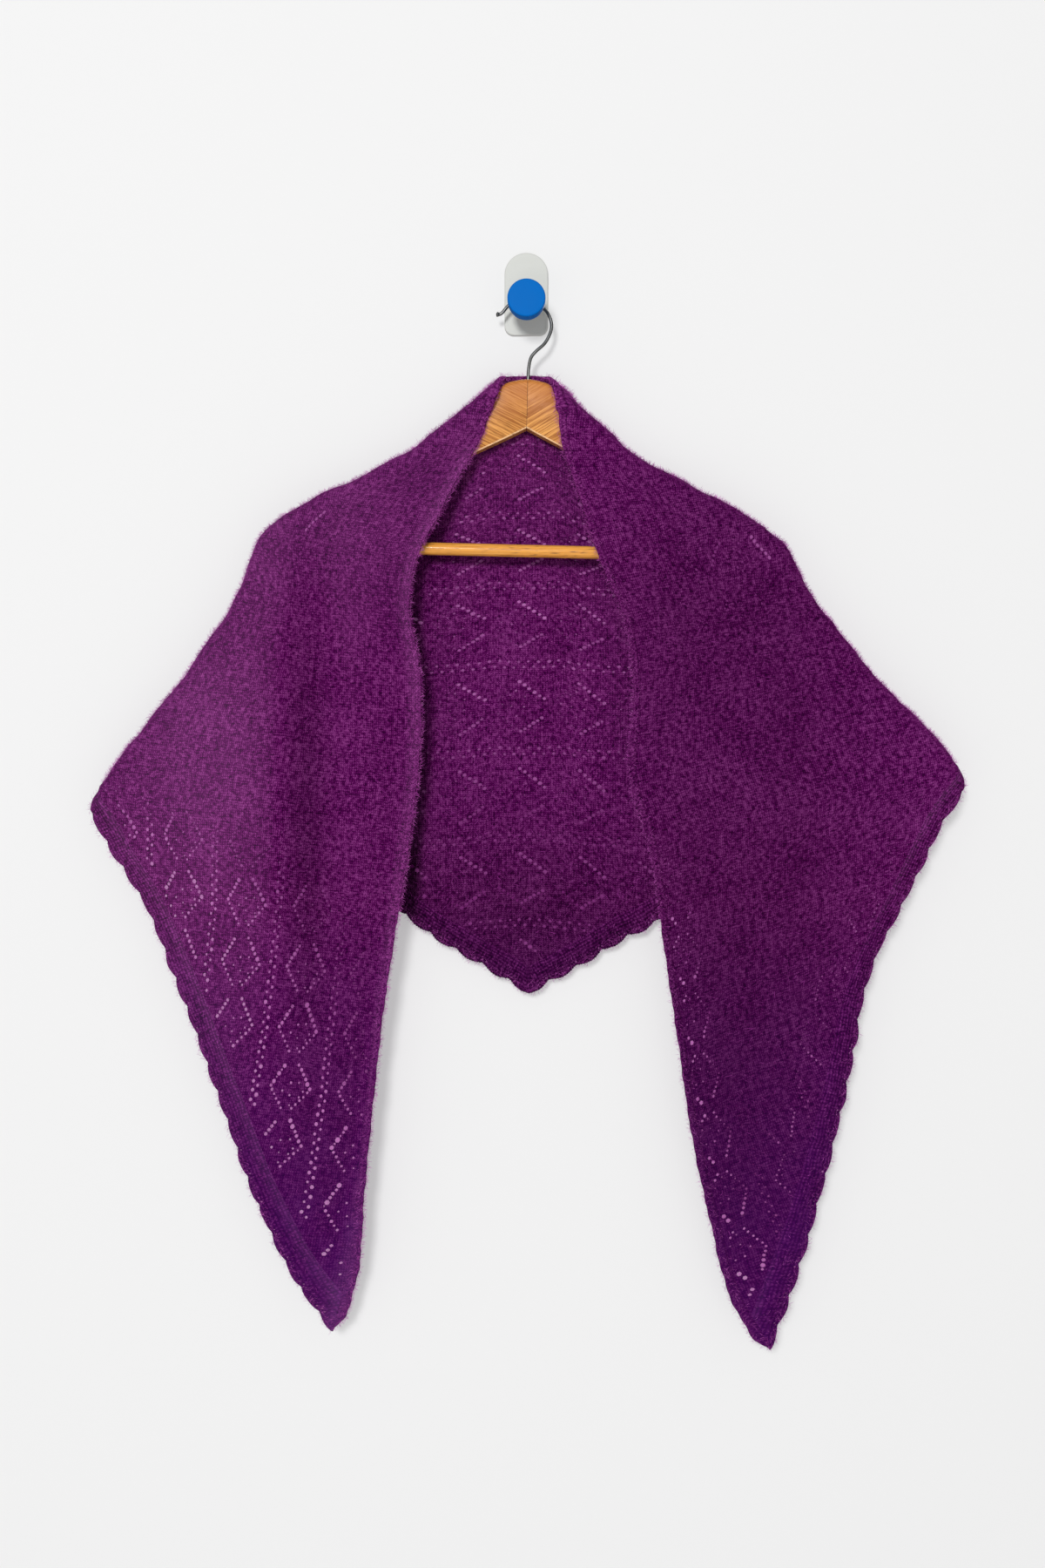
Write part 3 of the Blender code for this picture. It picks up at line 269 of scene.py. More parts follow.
# the hem of the back, up behind the two fronts to the corners
# columns: along, out, down, off
HEM_LEFT = [
    (40, 38, 574, 11), (80, 79, 550, 12), (110, 105, 530, 13), (150, 134, 503, 15),
    (195, 168, 474, 17), (240, 204, 453, 19), (300, 254, 440, 20), (370, 318, 437, 20),
    (410, 354, 436, 20),
]
HEM_MIDDLE = (0, 2, 598, 11)
HEM_RIGHT = [
    (40, 43, 576, 11), (80, 83, 552, 12), (110, 113, 536, 13), (150, 141, 508, 15),
    (195, 173, 478, 17), (240, 208, 455, 19), (300, 258, 437, 20), (370, 322, 423, 20),
    (410, 356, 416, 20),
]

# the round of the fold: how far its middle is off the wall, and its radius
# columns: along, off, radius
FOLD = [
    (0, 22.5, 10), (23, 22.5, 10.5), (50, 23, 11), (90, 25, 12), (130, 28, 12),
    (165, 32, 12), (195, 35, 11), (240, 35, 11), (300, 33, 10.5), (370, 30, 10),
    (442, 28, 9), (520, 27, 9), (680, 25, 9), (830, 24, 9), (885, 23, 9),
]

# the largest soft folds; a positive height stands to the front
# columns: s0, v0, s1, v1, half width, height
CREASES = [
    (-240, 100, -590, 56, 26, -7),     # long trough down the left front
    (-310, 170, -520, 135, 30, 6),     # swell outside it
    (-150, 95, -260, 60, 20, -4),      # slack below the left shoulder
    (-620, 40, -790, 20, 16, 4),
    (250, 62, 470, 42, 22, -5),        # trough beside the right inner edge
    (300, 165, 480, 150, 30, -4),
    (330, 115, 600, 95, 24, 4),
    (150, 90, 240, 70, 20, -3),
    (650, 45, 800, 25, 16, -4),
    (-118, 480, -150, 330, 11, -7),    # folds of the back behind the left front
    (-158, 460, -190, 320, 15, 9),
    (-214, 420, -235, 270, 17, -9),
    (-268, 385, -280, 270, 17, 9),
    (-325, 350, -325, 280, 17, -8),
    (-380, 315, -375, 275, 14, 5),
    (126, 470, 156, 330, 12, -6),      # and behind the right one
    (170, 445, 196, 310, 16, 9),
    (226, 410, 240, 270, 17, -9),
    (283, 375, 290, 265, 18, 8),
    (342, 340, 338, 285, 16, -7),
    (392, 308, 388, 280, 13, 4),
]
# how high the middle rows of the back ride; columns: s, height
SPARE = [
    (-330, 0), (-200, 6), (-100, 12), (-50, 16.5), (0, 19.5), (50, 19.5), (100, 16.5),
    (200, 8), (330, 0),
]
LEAST_SLANT = 0.55        # limits how wide a slanted section goes round the fold
SETTLE = 30.0             # the creases fade out this close to the fold


def mirrored(rows):
    """A table of the left side, whose distances out become negative."""
    return [(along, -out, *others) for along, out, *others in rows]


RIM = [(-along, *others) for along, *others in reversed(mirrored(RIM_LEFT))] + [RIM_MIDDLE] + RIM_RIGHT
HEMS = ([HEM_MIDDLE] + mirrored(HEM_LEFT), [HEM_MIDDLE] + HEM_RIGHT)
EDGES = (mirrored(EDGE_LEFT), EDGE_RIGHT)
FRONT_FROM, FRONT_TO = EDGE_LEFT[0][0], 870.0
BACK_TO = HEM_LEFT[-1][0]
print("sections:", len(RIM), "of the rim,", len(CREASES), "creases")


# %% Reading the tables
def along_table(rows, at):
    """The other columns of a table, on a smooth curve through its rows, at many places of its first."""
    rows = np.asarray(rows, float)
    knots, values = rows[:, 0], rows[:, 1:]
    slopes = np.gradient(values, knots, axis=0)
    at = np.clip(np.asarray(at, float), knots[0], knots[-1])
    low = np.clip(np.searchsorted(knots, at) - 1, 0, len(knots) - 2)
    span = (knots[low + 1] - knots[low])[..., None]
    t = (at - knots[low])[..., None] / span
    return ((2 * t**3 - 3 * t**2 + 1) * values[low] + (t**3 - 2 * t**2 + t) * span * slopes[low]
            + (3 * t**2 - 2 * t**3) * values[low + 1] + (t**3 - t**2) * span * slopes[low + 1])


def by_side(tables, s, at):
    """Read the left table where s is left of the middle, and else the right one."""
    return np.where((s < 0)[..., None], along_table(tables[0], at), along_table(tables[1], at))


def ramp(value, start, width):
    """0 up to the start and 1 from a width past it; a negative width falls the other way."""
    return np.clip((value - start) / width, 0.0, 1.0)


def hump(value, middle, width):
    """A soft bell, 1 at its middle."""
    return np.exp(-(((value - middle) / width) ** 2))


def fold_line(u):
    """Where the fold runs in the flat cloth; outside the cloth past its ends."""
    neck_rise = SHOULDER_V / (SHOULDER_AT - NECK_AT)
    return np.where(u < SHOULDER_AT, neck_rise * (u - NECK_AT),
                    SHOULDER_V + FREE_FOLD_RISE * (u - SHOULDER_AT))


def hem_line(u):
    return SHAWL_DROP * (1.0 - u / SHAWL_HALF)


print("the fold crosses the flat cloth at", [(u, round(float(fold_line(u)), 1)) for u in (NECK_AT, SHOULDER_AT)])


# %% From a flat place to where it hangs
def rim_state(s):
    """The rim at a section: its place, its flat v, and the fold's round there."""
    u = np.abs(s)
    fold = along_table(FOLD, u)
    line = fold_line(u)
    rim_v = np.clip(line, 0.0, hem_line(u))
    start = np.clip(np.abs(line - rim_v) / fold[..., 1], 0.0, math.pi / 2)
    return along_table(RIM, s), rim_v, fold[..., 0], fold[..., 1], start


def rim_direction(s):
    line = along_table(RIM, s + 2.0) - along_table(RIM, s - 2.0)
    return line / np.maximum(np.linalg.norm(line, axis=-1, keepdims=True), 1e-9)


def run_of(s, front):
    """Direction and stretch of a section from the rim to the edge or the hem."""
    side = np.where(s < 0, -1.0, 1.0)
    u = np.abs(s)
    held = np.clip(u, FRONT_FROM, FRONT_TO) if front else np.minimum(u, BACK_TO)
    rim, rim_v, _, radius, start = rim_state(side * held)
    end = by_side(EDGES if front else HEMS, side, held)
    flat = rim_v if front else hem_line(held) - rim_v
    run = end[..., :2] - rim
    length = np.hypot(run[..., 0], run[..., 1])
    direction = run / length[..., None]
    # a section that meets the fold at a slant goes round a wider curve
    along = rim_direction(side * held)
    slant = np.abs(direction[..., 0] * along[..., 1] - direction[..., 1] * along[..., 0])
    wide = radius / np.maximum(slant, LEAST_SLANT)
    flat_run = flat - 0.5 * (radius + wide) * (math.pi / 2 - start)
    stretch = (length - wide * np.cos(start)) / flat_run
    return direction, stretch, flat_run, end[..., 2], wide


def creases(s, v):
    """Height of the soft folds at a flat place."""
    height = np.zeros_like(s)
    for s0, v0, s1, v1, half_width, rise in CREASES:
        line_s, line_v = s1 - s0, v1 - v0
        t = np.clip(((s - s0) * line_s + (v - v0) * line_v) / (line_s**2 + line_v**2), 0.0, 1.0)
        away = np.hypot(s - s0 - t * line_s, v - v0 - t * line_v)
        height += rise * hump(away, 0.0, half_width)
    return height


def drape_face(s, v, front):
    """Where a flat place hangs: round the rim, then down a front or the back."""
    rim, rim_v, middle_off, radius, start = rim_state(s)
    direction, stretch, flat_run, end_off, wide = run_of(s, front)
    arc = rim_v - v if front else v - rim_v
    round_radius = 0.5 * (radius + wide)
    turn = np.clip(start + arc / round_radius, 0.0, math.pi / 2)
    past = np.maximum(arc - round_radius * (math.pi / 2 - start), 0.0)
    share = np.clip(past / flat_run, 0.0, 1.0)
    if not front:
        past = past - along_table(SPARE, s)[..., 0] * np.sin(math.pi * share)
    reach = wide * (np.cos(start) - np.cos(turn)) + stretch * past
    place = rim + direction * reach[..., None]
    toward = 1.0 if front else -1.0
    ease = share * share * (3.0 - 2.0 * share)
    off = middle_off + toward * radius * np.sin(turn) + (end_off - middle_off - toward * radius) * ease
    off = off + creases(s, v) * np.clip(past / SETTLE, 0.0, 1.0)
    return np.stack([place[..., 0], -off, -place[..., 1]], axis=-1)


def drape(s, v):
    """Where the stitch at the flat place (s, v) hangs, in millimetres."""
    front = v <= fold_line(np.abs(s))
    return np.where(front[..., None], drape_face(s, v, True), drape_face(s, v, False))


print("back point is draped to", np.round(drape(np.array([0.0]), np.array([SHAWL_DROP]))[0], 1))

# %% [markdown]
# ## Small waves
# Soft knitting is never quite even. Short sums of slow waves give the surface a gentle unevenness of half a
# millimetre, the left front's long edge rolls softly backwards, and a narrow crease parts the edging from the
# cloth. Over the hanger's head both fronts draw in a little.

# %% Unevenness and the rolled edge
# columns: waves a metre along, waves a metre across, start of the wave, height in millimetres
WAVES = [
    (9.0, 5.0, 0.3, 0.55), (-14.0, 11.0, 1.9, 0.45), (21.0, 17.0, 4.1, 0.32), (5.0, -26.0, 2.7, 0.34),
    (33.0, -9.0, 5.2, 0.22), (-27.0, -31.0, 0.9, 0.2), (47.0, 38.0, 3.3, 0.12), (-52.0, 29.0, 1.2, 0.12),
]
ROLL_WIDTH, ROLL_DEPTH = 15.0, 3.6
ROLL_FROM, ROLL_TO, ROLL_FADE = 90.0, 840.0, 60.0
EDGING_CREASE, CREASE_WIDTH = 1.5, 1.9
FLATTER, FLATTER_FROM, FLATTER_WIDTH = 0.65, 250.0, 80.0   # how much the crease is less on the right
# how the fronts draw in over the hanger's head; columns: from the middle, how far in, how far forward
NECKS = (
    [(14, 0, 0), (22, 2.4, 1), (28, 5.8, 2.6), (34, 7, 3), (42, 5, 2.6), (48, 1.6, 1.4), (54, 0, 0.5), (72, 0, 0)],
    [(12, 0, 0), (20, 2.8, 1), (28, 7, 2.6), (34, 7.6, 3), (40, 6.5, 2.9), (44, 5.2, 2.4), (48, 1.4, 1.2),
     (52, -0.4, 0.4), (62, 0, 0)],
)
NECK_PAST_FOLD, NECK_LEAST = 5.0, 12.0      # drawing in ends this far past the fold, and no nearer the edge
SLOPE_STEP = 0.4


def hem_distance_inside(s, v):
    """How far inside the hem line a flat place lies."""
    return (hem_line(np.abs(s)) - v) * math.cos(HEM_ANGLE)


def edging_curl(s, v):
    """The rim's lift, less where it turns round the corner and at the point."""
    share = ramp(hem_distance_inside(s, v), CURL_WIDTH, -(CURL_WIDTH + SCALLOP_RISE))
    u = np.abs(s)
    free = np.clip(np.abs(u - CORNER_AT) / CORNER_FADE, 0.0, 1.0) * ramp(u, SHAWL_HALF, -TIP_FADE)
    return EDGING_CURL * share * share * free


def waves(s, v):
    height = np.zeros_like(s)
    for along, across, start, rise in WAVES:
        height += rise * np.sin(2 * math.pi * (along * s + across * v) * MM + start)
    return height


def stand_off(s, v):
    """How far the cloth's middle stands off the smooth surface at a flat place."""
    creased = 1.0 - FLATTER * ramp(s, FLATTER_FROM, FLATTER_WIDTH)
    crease = creased * EDGING_CREASE * hump(hem_distance_inside(s, v), EDGING_WIDTH, CREASE_WIDTH)
    roll = ramp(v, ROLL_WIDTH, -ROLL_WIDTH) ** 2
    lasting = ramp(s, -ROLL_FROM, -ROLL_FADE) * ramp(s, -ROLL_TO, ROLL_FADE)
    return waves(s, v) - crease + edging_curl(s, v) - ROLL_DEPTH * roll * lasting


def drawn_in(s, v):
    """The front edges draw in and forward a little over the hanger's head: how far along X and Y."""
    u = np.abs(s)
    reach = np.maximum(fold_line(u) + NECK_PAST_FOLD, NECK_LEAST)
    near = ramp(v, reach, -reach)
    return -by_side(NECKS, s, u) * near[..., None] * np.stack([np.sign(s), np.ones_like(s)], axis=-1)


def hang(s, v, lift=0.0):
    """Where a flat place hangs, standing off by lift towards the right side of the cloth."""
    s, v = np.asarray(s, float), np.asarray(v, float)
    along = drape(s + SLOPE_STEP, v) - drape(s - SLOPE_STEP, v)
    across = drape(s, v + SLOPE_STEP) - drape(s, v - SLOPE_STEP)
    normal = np.cross(across, along)
    normal /= np.linalg.norm(normal, axis=-1, keepdims=True)
    place = drape(s, v) + normal * (stand_off(s, v) + lift)[..., None]
    place[..., :2] += drawn_in(s, v)
    return place


print("back point hangs at", np.round(hang([0.0], [SHAWL_DROP])[0], 1))

# %% [markdown]
# ## The lace
# The chart is a traditional diamond-and-ladder lace. Two staggered rows of eyelets make a ladder every 72 mm, and
# between two ladders open diamonds are drawn by slanting rows of eyelets. An eyelet is a real hole, one stitch wide.
# Where the cloth is pulled the holes open, and where it hangs slack or fuzzy they close up.

# %% The lace chart, in millimetres from the start of a repeat
REPEAT_S, REPEAT_V = 51.5, 72.0     # one repeat of the lace
CHART_S, CHART_V = 3.0, 59.0        # where its grid starts
CHART_COLUMNS, CHART_ROWS = range(-19, 20), range(-1, 8)
DOWN_DIAGONAL = (-10.0, 14.5, 11.0, 29.5)     # s0, v0, s1, v1 from the repeat's start
UP_DIAGONAL = (-9.0, 56.0, 9.0, 45.0)
DIAGONAL_EYELETS = 6
# how each front's rows fit: chart's distance along, slip, share of the row spacing kept, stand-off from the edge
FRONT_FITS = (
    [(0, 0, 1.0, 0), (60, 0, 1.0, 0), (190, -22, 1.0, 4.6), (320, -14, 0.9, 3), (450, -8, 0.795, 1.5),
     (550, -5, 0.785, 0), (650, -4.5, 0.785, -4), (720, -8.5, 0.785, -6), (885, -9, 0.785, -8)],
    [(0, 0, 1.0, 0), (60, 0, 1.0, 0), (200, -11, 0.92, -2), (330, -18, 0.84, -1), (480, -24, 0.77, 0),
     (650, -24.5, 0.71, 0), (885, -24.5, 0.7, 0)],
)
# how the back's rows slip down or up; columns: v, slip
BACK_SLIP = [(60, 6), (140, 6), (200, 1), (275, 0), (340, 2.5), (400, 4), (440, 1), (545, -2)]
# diagonals whose eyelets are pulled open past 4 mm: repeat along, repeat across and which diagonal, with the
# half length and half width of their gaps
SHOULDER_GAP, FRONT_GAP = (2.7, 2.2), (2.4, 2.1)
PULLED_OPEN = {
    (4, 1, DOWN_DIAGONAL): SHOULDER_GAP, (-4, 0, UP_DIAGONAL): SHOULDER_GAP,
    (-11, 2, DOWN_DIAGONAL): FRONT_GAP, (-11, 1, UP_DIAGONAL): FRONT_GAP,
    (-12, 1, UP_DIAGONAL): FRONT_GAP, (-12, 1, DOWN_DIAGONAL): FRONT_GAP,
    (-13, 1, DOWN_DIAGONAL): FRONT_GAP, (-14, 0, UP_DIAGONAL): FRONT_GAP,
}
# columns: s0, v0, s1, v1, eyelets, size
SLANTS = [
    (*DOWN_DIAGONAL, DIAGONAL_EYELETS, 1.0), (*UP_DIAGONAL, DIAGONAL_EYELETS, 1.0),
    (-14.0, 17.0, -29.0, 31.0, 5, 0.72), (-13.0, 54.0, -29.0, 42.0, 5, 0.72),
]
# columns: s, v, size
LONE_EYELETS = [
    (-18.0, 25.5, 0.55), (-13.0, 22.0, 0.6), (-26.0, 34.0, 0.5), (-5.0, 27.0, 0.55), (-17.0, 35.0, 0.5),
    (-6.0, 36.0, 0.6), (-13.0, 43.0, 0.55),
]
LADDER_PITCH, LADDER_HALF, LADDER_SIZE = 8.58, 2.45, 0.84
EYELET_S, EYELET_V = 1.95, 1.62       # half length and half width of an eyelet of size 1


def lace_place(s, v):
    """The flat place of a point of the lace chart on the two fronts."""
    u = np.abs(s)
    fit = by_side(FRONT_FITS, s, u)
    return np.sign(s) * (u + fit[..., 0]), v * fit[..., 1] + fit[..., 2]


def chart_eyelets():
    """Every eyelet of the chart over the whole triangle: s, v, size, and which row it belongs to."""
    for column in CHART_COLUMNS:
        for row in CHART_ROWS:
            s0, v0 = CHART_S + REPEAT_S * column, CHART_V + REPEAT_V * row
            for i in range(round(REPEAT_S / LADDER_PITCH)):
                for line in (-1, 1):
                    s = s0 + i * LADDER_PITCH + 0.25 * line * LADDER_PITCH
                    yield s, v0 + line * LADDER_HALF, LADDER_SIZE, (column, row, None)
            for s1, v1, s2, v2, count, size in SLANTS:
                for share in np.linspace(0.0, 1.0, count):
                    key = (column, row, (s1, v1, s2, v2))
                    yield s0 + s1 + (s2 - s1) * share, v0 + v1 + (v2 - v1) * share, size, key
            for s1, v1, size in LONE_EYELETS:
                yield s0 + s1, v0 + v1, size, (column, row, None)


print("chart:", sum(1 for _ in chart_eyelets()), "eyelets, many of them off the triangle")

# %% How open the eyelets are, and how hairy
SLACK = 0.3                     # how open the lace is where it hangs slack and hairy
BACK_MIDDLE = 230.0             # the back is pulled a little more inside this
BACK_OPEN, BACK_SIDE_OPEN = 0.95, 0.8
SHOULDERS_TO = 260.0            # nearer the middle than this, a front lies over a shoulder
SHOULDER_HAZE, OPEN_SHOULDER_HAZE = 0.93, 0.75
BACK_SHOWN = {DOWN_DIAGONAL: 0.46, UP_DIAGONAL: 0.28, None: 0.3}
OTHER_SHOWN, LONE_SHOWN = 0.1, 0.55


def fall(value, middle, width):
    """1 well below the middle and 0 well above it."""
    return 1.0 / (1.0 + math.exp((value - middle) / width))


def openness(s, v, front):
    """How far the cloth is pulled open there, 1 where the lace shows best."""
    u, inset = abs(s), float(hem_distance_inside(s, v))
    if not front:
        return BACK_OPEN if u < BACK_MIDDLE else BACK_SIDE_OPEN
    if u < SHOULDERS_TO:
        return SLACK + 0.6 * hump(u, middle=205, width=40) * hump(v, middle=110, width=50)
    if s < 0:
        rise = ramp(u + 0.35 * (150 - inset), start=415, width=90)
        lower = 0.5 + 0.55 * fall(inset, middle=145, width=22)
    else:
        rise = ramp(u, start=420, width=110)
        lower = 0.42 + 0.5 * hump(v, middle=15, width=15) + 0.2 * hump(inset, middle=30, width=16)
    return SLACK + (lower - SLACK) * rise


def haze(s, v, front, key):
    """How thickly hair veils an eyelet, from 0 for hardly to 1 for almost closed."""
    luck = luck_of.setdefault(key, jitter.random())
    if not front:
        # the back lies in the left front's shadow here: its eyelets get the thickest, darkest veil, painted shade
        if s < -min(30 + 0.37 * (v - 60), 100):       # behind the left front's edge
            return 1.0
        shown = BACK_SHOWN.get(key[2], OTHER_SHOWN) * (0.75 + 0.35 * luck)
        return 1.0 - shown * max(ramp(v, start=450, width=-160), 0.3)
    if abs(s) < SHOULDERS_TO:
        return OPEN_SHOULDER_HAZE if key in PULLED_OPEN else SHOULDER_HAZE
    inset = float(hem_distance_inside(s, v))
    rise = ramp(abs(s), start=395, width=110)
    if s < 0:
        shown = 0.06 + (0.94 - 0.3 * luck) * rise * fall(inset, middle=78, width=22)
    else:
        near_edges = 0.52 * hump(v, middle=15, width=11) + 0.34 * hump(inset, middle=30, width=14)
        shown = rise * (1.0 if key[2] else LONE_SHOWN) * near_edges
    return 1.0 - min(shown, 1.0)


print("open in the back:", openness(0.0, 300.0, False), "at a shoulder:", round(float(openness(205, 90, True)), 2))

# %% Where the eyelets land
HAIRY_GAP = 0.74                   # hair narrows even the widest gaps
EYELET_KEEPS_OFF = 1.6             # an eyelet's rim stays this far inside the cloth
LEAST_EYELET = 0.62                # half width below which an eyelet is lost in the hair
SHIFT_S, SHIFT_V, UNEVEN = 0.2, 0.18, 0.11
NEIGHBOURS_WITHIN, LEAST_BRIDGE = 7.0, 0.25
luck_of = {}
jitter = np.random.default_rng(7)


def lay_eyelets():
    """Every eyelet as flat s, v, half length, half width and haze, front and back of the fold."""
    charted = list(chart_eyelets())
    s, v = np.array([row[0] for row in charted]), np.array([row[1] for row in charted])
    fronts = np.stack(lace_place(s, v), axis=1)
    backs = np.stack([s, v + np.interp(v, *np.array(BACK_SLIP, float).T)], axis=1)
    laid = []
    for i, (_, _, size, key) in enumerate(charted):
        shift_s, shift_v, more = jitter.normal(0.0, (SHIFT_S, SHIFT_V, UNEVEN))
        for front in (True, False):
            at_s, at_v = fronts[i] if front else backs[i]
            if (at_v < fold_line(abs(at_s))) != front:
                continue
            gap = PULLED_OPEN.get(key) if front else None
            if gap:
                half_s, half_v = gap[0] * HAIRY_GAP, gap[1] * HAIRY_GAP
            else:
                at_s, at_v = at_s + shift_s, at_v + shift_v
                wide = size * openness(at_s, at_v, front) * math.exp(more)
                half_s, half_v = EYELET_S * wide, EYELET_V * wide
            off_fold = abs(at_v - float(fold_line(abs(at_s))))
            inside_hem = float(hem_distance_inside(at_s, at_v)) - half_s - EDGING_WIDTH
            if (half_s < LEAST_EYELET or min(at_v - half_v - BAND_WIDTH, inside_hem) < EYELET_KEEPS_OFF
                    or (off_fold - half_v < EYELET_KEEPS_OFF and abs(at_s) > NECK_AT)):
                continue
            laid.append([at_s, at_v, half_s, half_v, haze(at_s, at_v, front, key)])
    return laid


def tree_of(rows):
    """A tree that finds the nearest of the rows' flat places."""
    tree = KDTree(len(rows))
    for i, (s, v, *_) in enumerate(rows):
        tree.insert((s, v, 0.0), i)
    tree.balance()
    return tree


def parted(eyelets, apart=LEAST_BRIDGE):
    """Narrow, or leave out, an eyelet that would run into one already laid, the largest first."""
    kept, gone, tree = [], set(), tree_of(eyelets)
    for i in sorted(range(len(eyelets)), key=lambda i: -eyelets[i][2]):
        if i in gone:
            continue
        s, v, half_s, half_v, _ = eyelets[i]
        kept.append(eyelets[i])
        for _, other, _ in tree.find_range((s, v, 0.0), NEIGHBOURS_WITHIN):
            other_s, other_v, other_half_s, other_half_v, _ = eyelets[other]
            least_s, least_v = half_s + other_half_s + apart, half_v + other_half_v + apart
            away = math.hypot((other_s - s) / least_s, (other_v - v) / least_v)
            if other != i and away < 1.0:
                eyelets[other][2:4] = away * least_s - half_s - apart, away * least_v - half_v - apart
                if min(eyelets[other][2:4]) < LEAST_EYELET:
                    gone.add(other)
    return kept


eyelets = parted(lay_eyelets())
print("eyelets:", len(eyelets), "widest half:", round(max(row[2] for row in eyelets), 2))

# %% [markdown]
# ## The knitted cloth
# The whole shawl is one shell. Its outline, a loose grid, close rows beside the fold and a ring round every eyelet
# are drawn flat and joined by triangles, and the rings are left open. The flat net is then hung twice, once for
# each side of the cloth, and walls close its rims. The flat place also becomes the piece's own map, in metres, so
# the stitches of the material follow the yarn round every fold.


# %% Lines that the pieces share
def inset_v(u, inset):
    """The flat v of the line that runs this far inside the hem."""
    return hem_line(u) - inset / math.cos(HEM_ANGLE)


def off_the_hem(side, distance, inset):
    """The flat place a distance along the hem from the back point and inside it."""
    u = distance * math.cos(HEM_ANGLE) - inset * math.sin(HEM_ANGLE)
    return side * u, SHAWL_DROP - distance * math.sin(HEM_ANGLE) - inset * math.cos(HEM_ANGLE)


def scallop(distance):
    """How far the edging stands past the hem line, a distance from the point."""
    return SCALLOP_RISE * abs(math.sin(math.pi * (distance - FIRST_NOTCH) / SCALLOP_PITCH))


def scallop_point(distance):
    return off_the_hem(1, distance, -scallop(distance))


def solve(function, low, high):
    """The place between low and high where the function changes sign."""
    low_sign = function(low) > 0
    for _ in range(50):
        middle = 0.5 * (low + high)
        if (function(middle) > 0) == low_sign:
            low = middle
        else:
            high = middle
    return 0.5 * (low + high)


def stations(start, end, step):
    count = max(2, int(math.ceil(abs(end - start) / step)) + 1)
    return np.linspace(start, end, count)


# where the line that the edging is knitted to meets the fold and the selvedge
CORNER_IN = solve(lambda u: float(fold_line(u)) - float(inset_v(u, EDGING_WIDTH)), SHOULDER_AT, 500.0)
TIP_IN = solve(lambda u: float(inset_v(u, EDGING_WIDTH)) - BAND_WIDTH, CORNER_AT, SHAWL_HALF)
EDGE_STEP, NECK_STEP, NECK_TO = 5.0, 3.0, 60.0
low_stations = np.concatenate([stations(0.0, NECK_TO, NECK_STEP), stations(NECK_TO, TIP_IN, EDGE_STEP)[1:]])
hem_stations = stations(0.0, TIP_IN, EDGE_STEP)
print("long edge:", 2 * len(low_stations) - 1, "points, hem:", 2 * len(hem_stations) - 1, "points")


# %% Meshes from flat places
def float_layer(mesh, name, values):
    layer = mesh.attributes.new(name, "FLOAT", "POINT")
    layer.data.foreach_set("value", np.asarray(values, dtype=np.float32))


def corner_points(mesh):
    """Which point each corner of the mesh's faces uses."""
    corners = np.zeros(len(mesh.loops), dtype=np.int32)
    mesh.loops.foreach_get("vertex_index", corners)
    return corners


def make_piece(name, points, faces, materials=(), flat=None, smooth_angle=60.0):
    """A mesh object from points in millimetres, with the flat places as its own map in metres."""
    mesh = bpy.data.meshes.new(name)
    mesh.from_pydata(np.asarray(points, float) * MM, [], [tuple(face) for face in faces])
    if flat is not None:
        places = (np.asarray(flat, float) * MM)[corner_points(mesh)]
        mesh.uv_layers.new(name="flat_cut").data.foreach_set("uv", places.astype(np.float32).ravel())
    for material in materials:
        mesh.materials.append(material)
    mesh.shade_smooth()
    mesh.set_sharp_from_angle(angle=math.radians(smooth_angle))
    return placed(name, mesh)


def flat_net(outline, inner, rings):
    """Triangles between an outline, loose points and rings that stay open: places and triangles."""
    parts = [np.asarray(part, float) for part in (outline, inner, *rings)]
    firsts = np.cumsum([0] + [len(part) for part in parts])
    owner = np.full(firsts[-1], -1)
    edges = []
    for k, part in enumerate(parts):
        if k != 1:
            first, count = int(firsts[k]), len(part)
            edges += [(first + i, first + (i + 1) % count) for i in range(count)]
            owner[first:first + count] = k - 2 if k else -1
    points = [Vector(p) for p in np.concatenate(parts).tolist()]
    found, _, faces, from_point, _, _ = delaunay_2d_cdt(points, edges, [], 1, 1e-5)
    faces = np.array([tuple(face) for face in faces])
    held = np.array([owner[old[0]] if old else -1 for old in from_point])[faces]
    open_ring = (held[:, 0] >= 0) & (held[:, 0] == held[:, 1]) & (held[:, 1] == held[:, 2])
    faces = faces[~open_ring]
    used, renumbered = np.unique(faces, return_inverse=True)
    return np.array([(p.x, p.y) for p in found])[used], renumbered.reshape(faces.shape)


# %% Soft light and shade over the cloth
# columns: which layer, x and z of the middle in millimetres, half width, half height, how much lighter
TONES = [
    ("front", 180, -440, 170, 420, -0.3), ("front", 150, -700, 120, 200, -0.2), ("front", -277, -387, 52, 110, 0.14),
    ("front", -228, -192, 85, 70, 0.1), ("front", -191, -436, 22, 190, -0.37), ("front", -120, -436, 50, 200, -0.13),
    ("front", -153, -717, 95, 150, -0.21), ("front", 150, -250, 110, 90, -0.08),
    ("back", 0, -550, 175, 90, -0.46), ("back", 0, -320, 150, 220, -0.11), ("back", -82, -210, 8, 30, -0.3),
    ("back", -97, -290, 7, 60, -0.45), ("back", -94, -400, 6, 70, -0.5), ("back", -99, -500, 6, 55, -0.55),
]
EDGE_TONE, EDGE_WIDTH = 0.16, 7.0      # the rolled left edge catches the light
FOLD_TONE, FOLD_WIDTH = 0.4, 3.6       # so does the hair along the fold
EDGING_TONE = 0.15                     # the edging is darkest at its rim
TONE_FROM, TONE_WIDTH = 6.0, 8.0


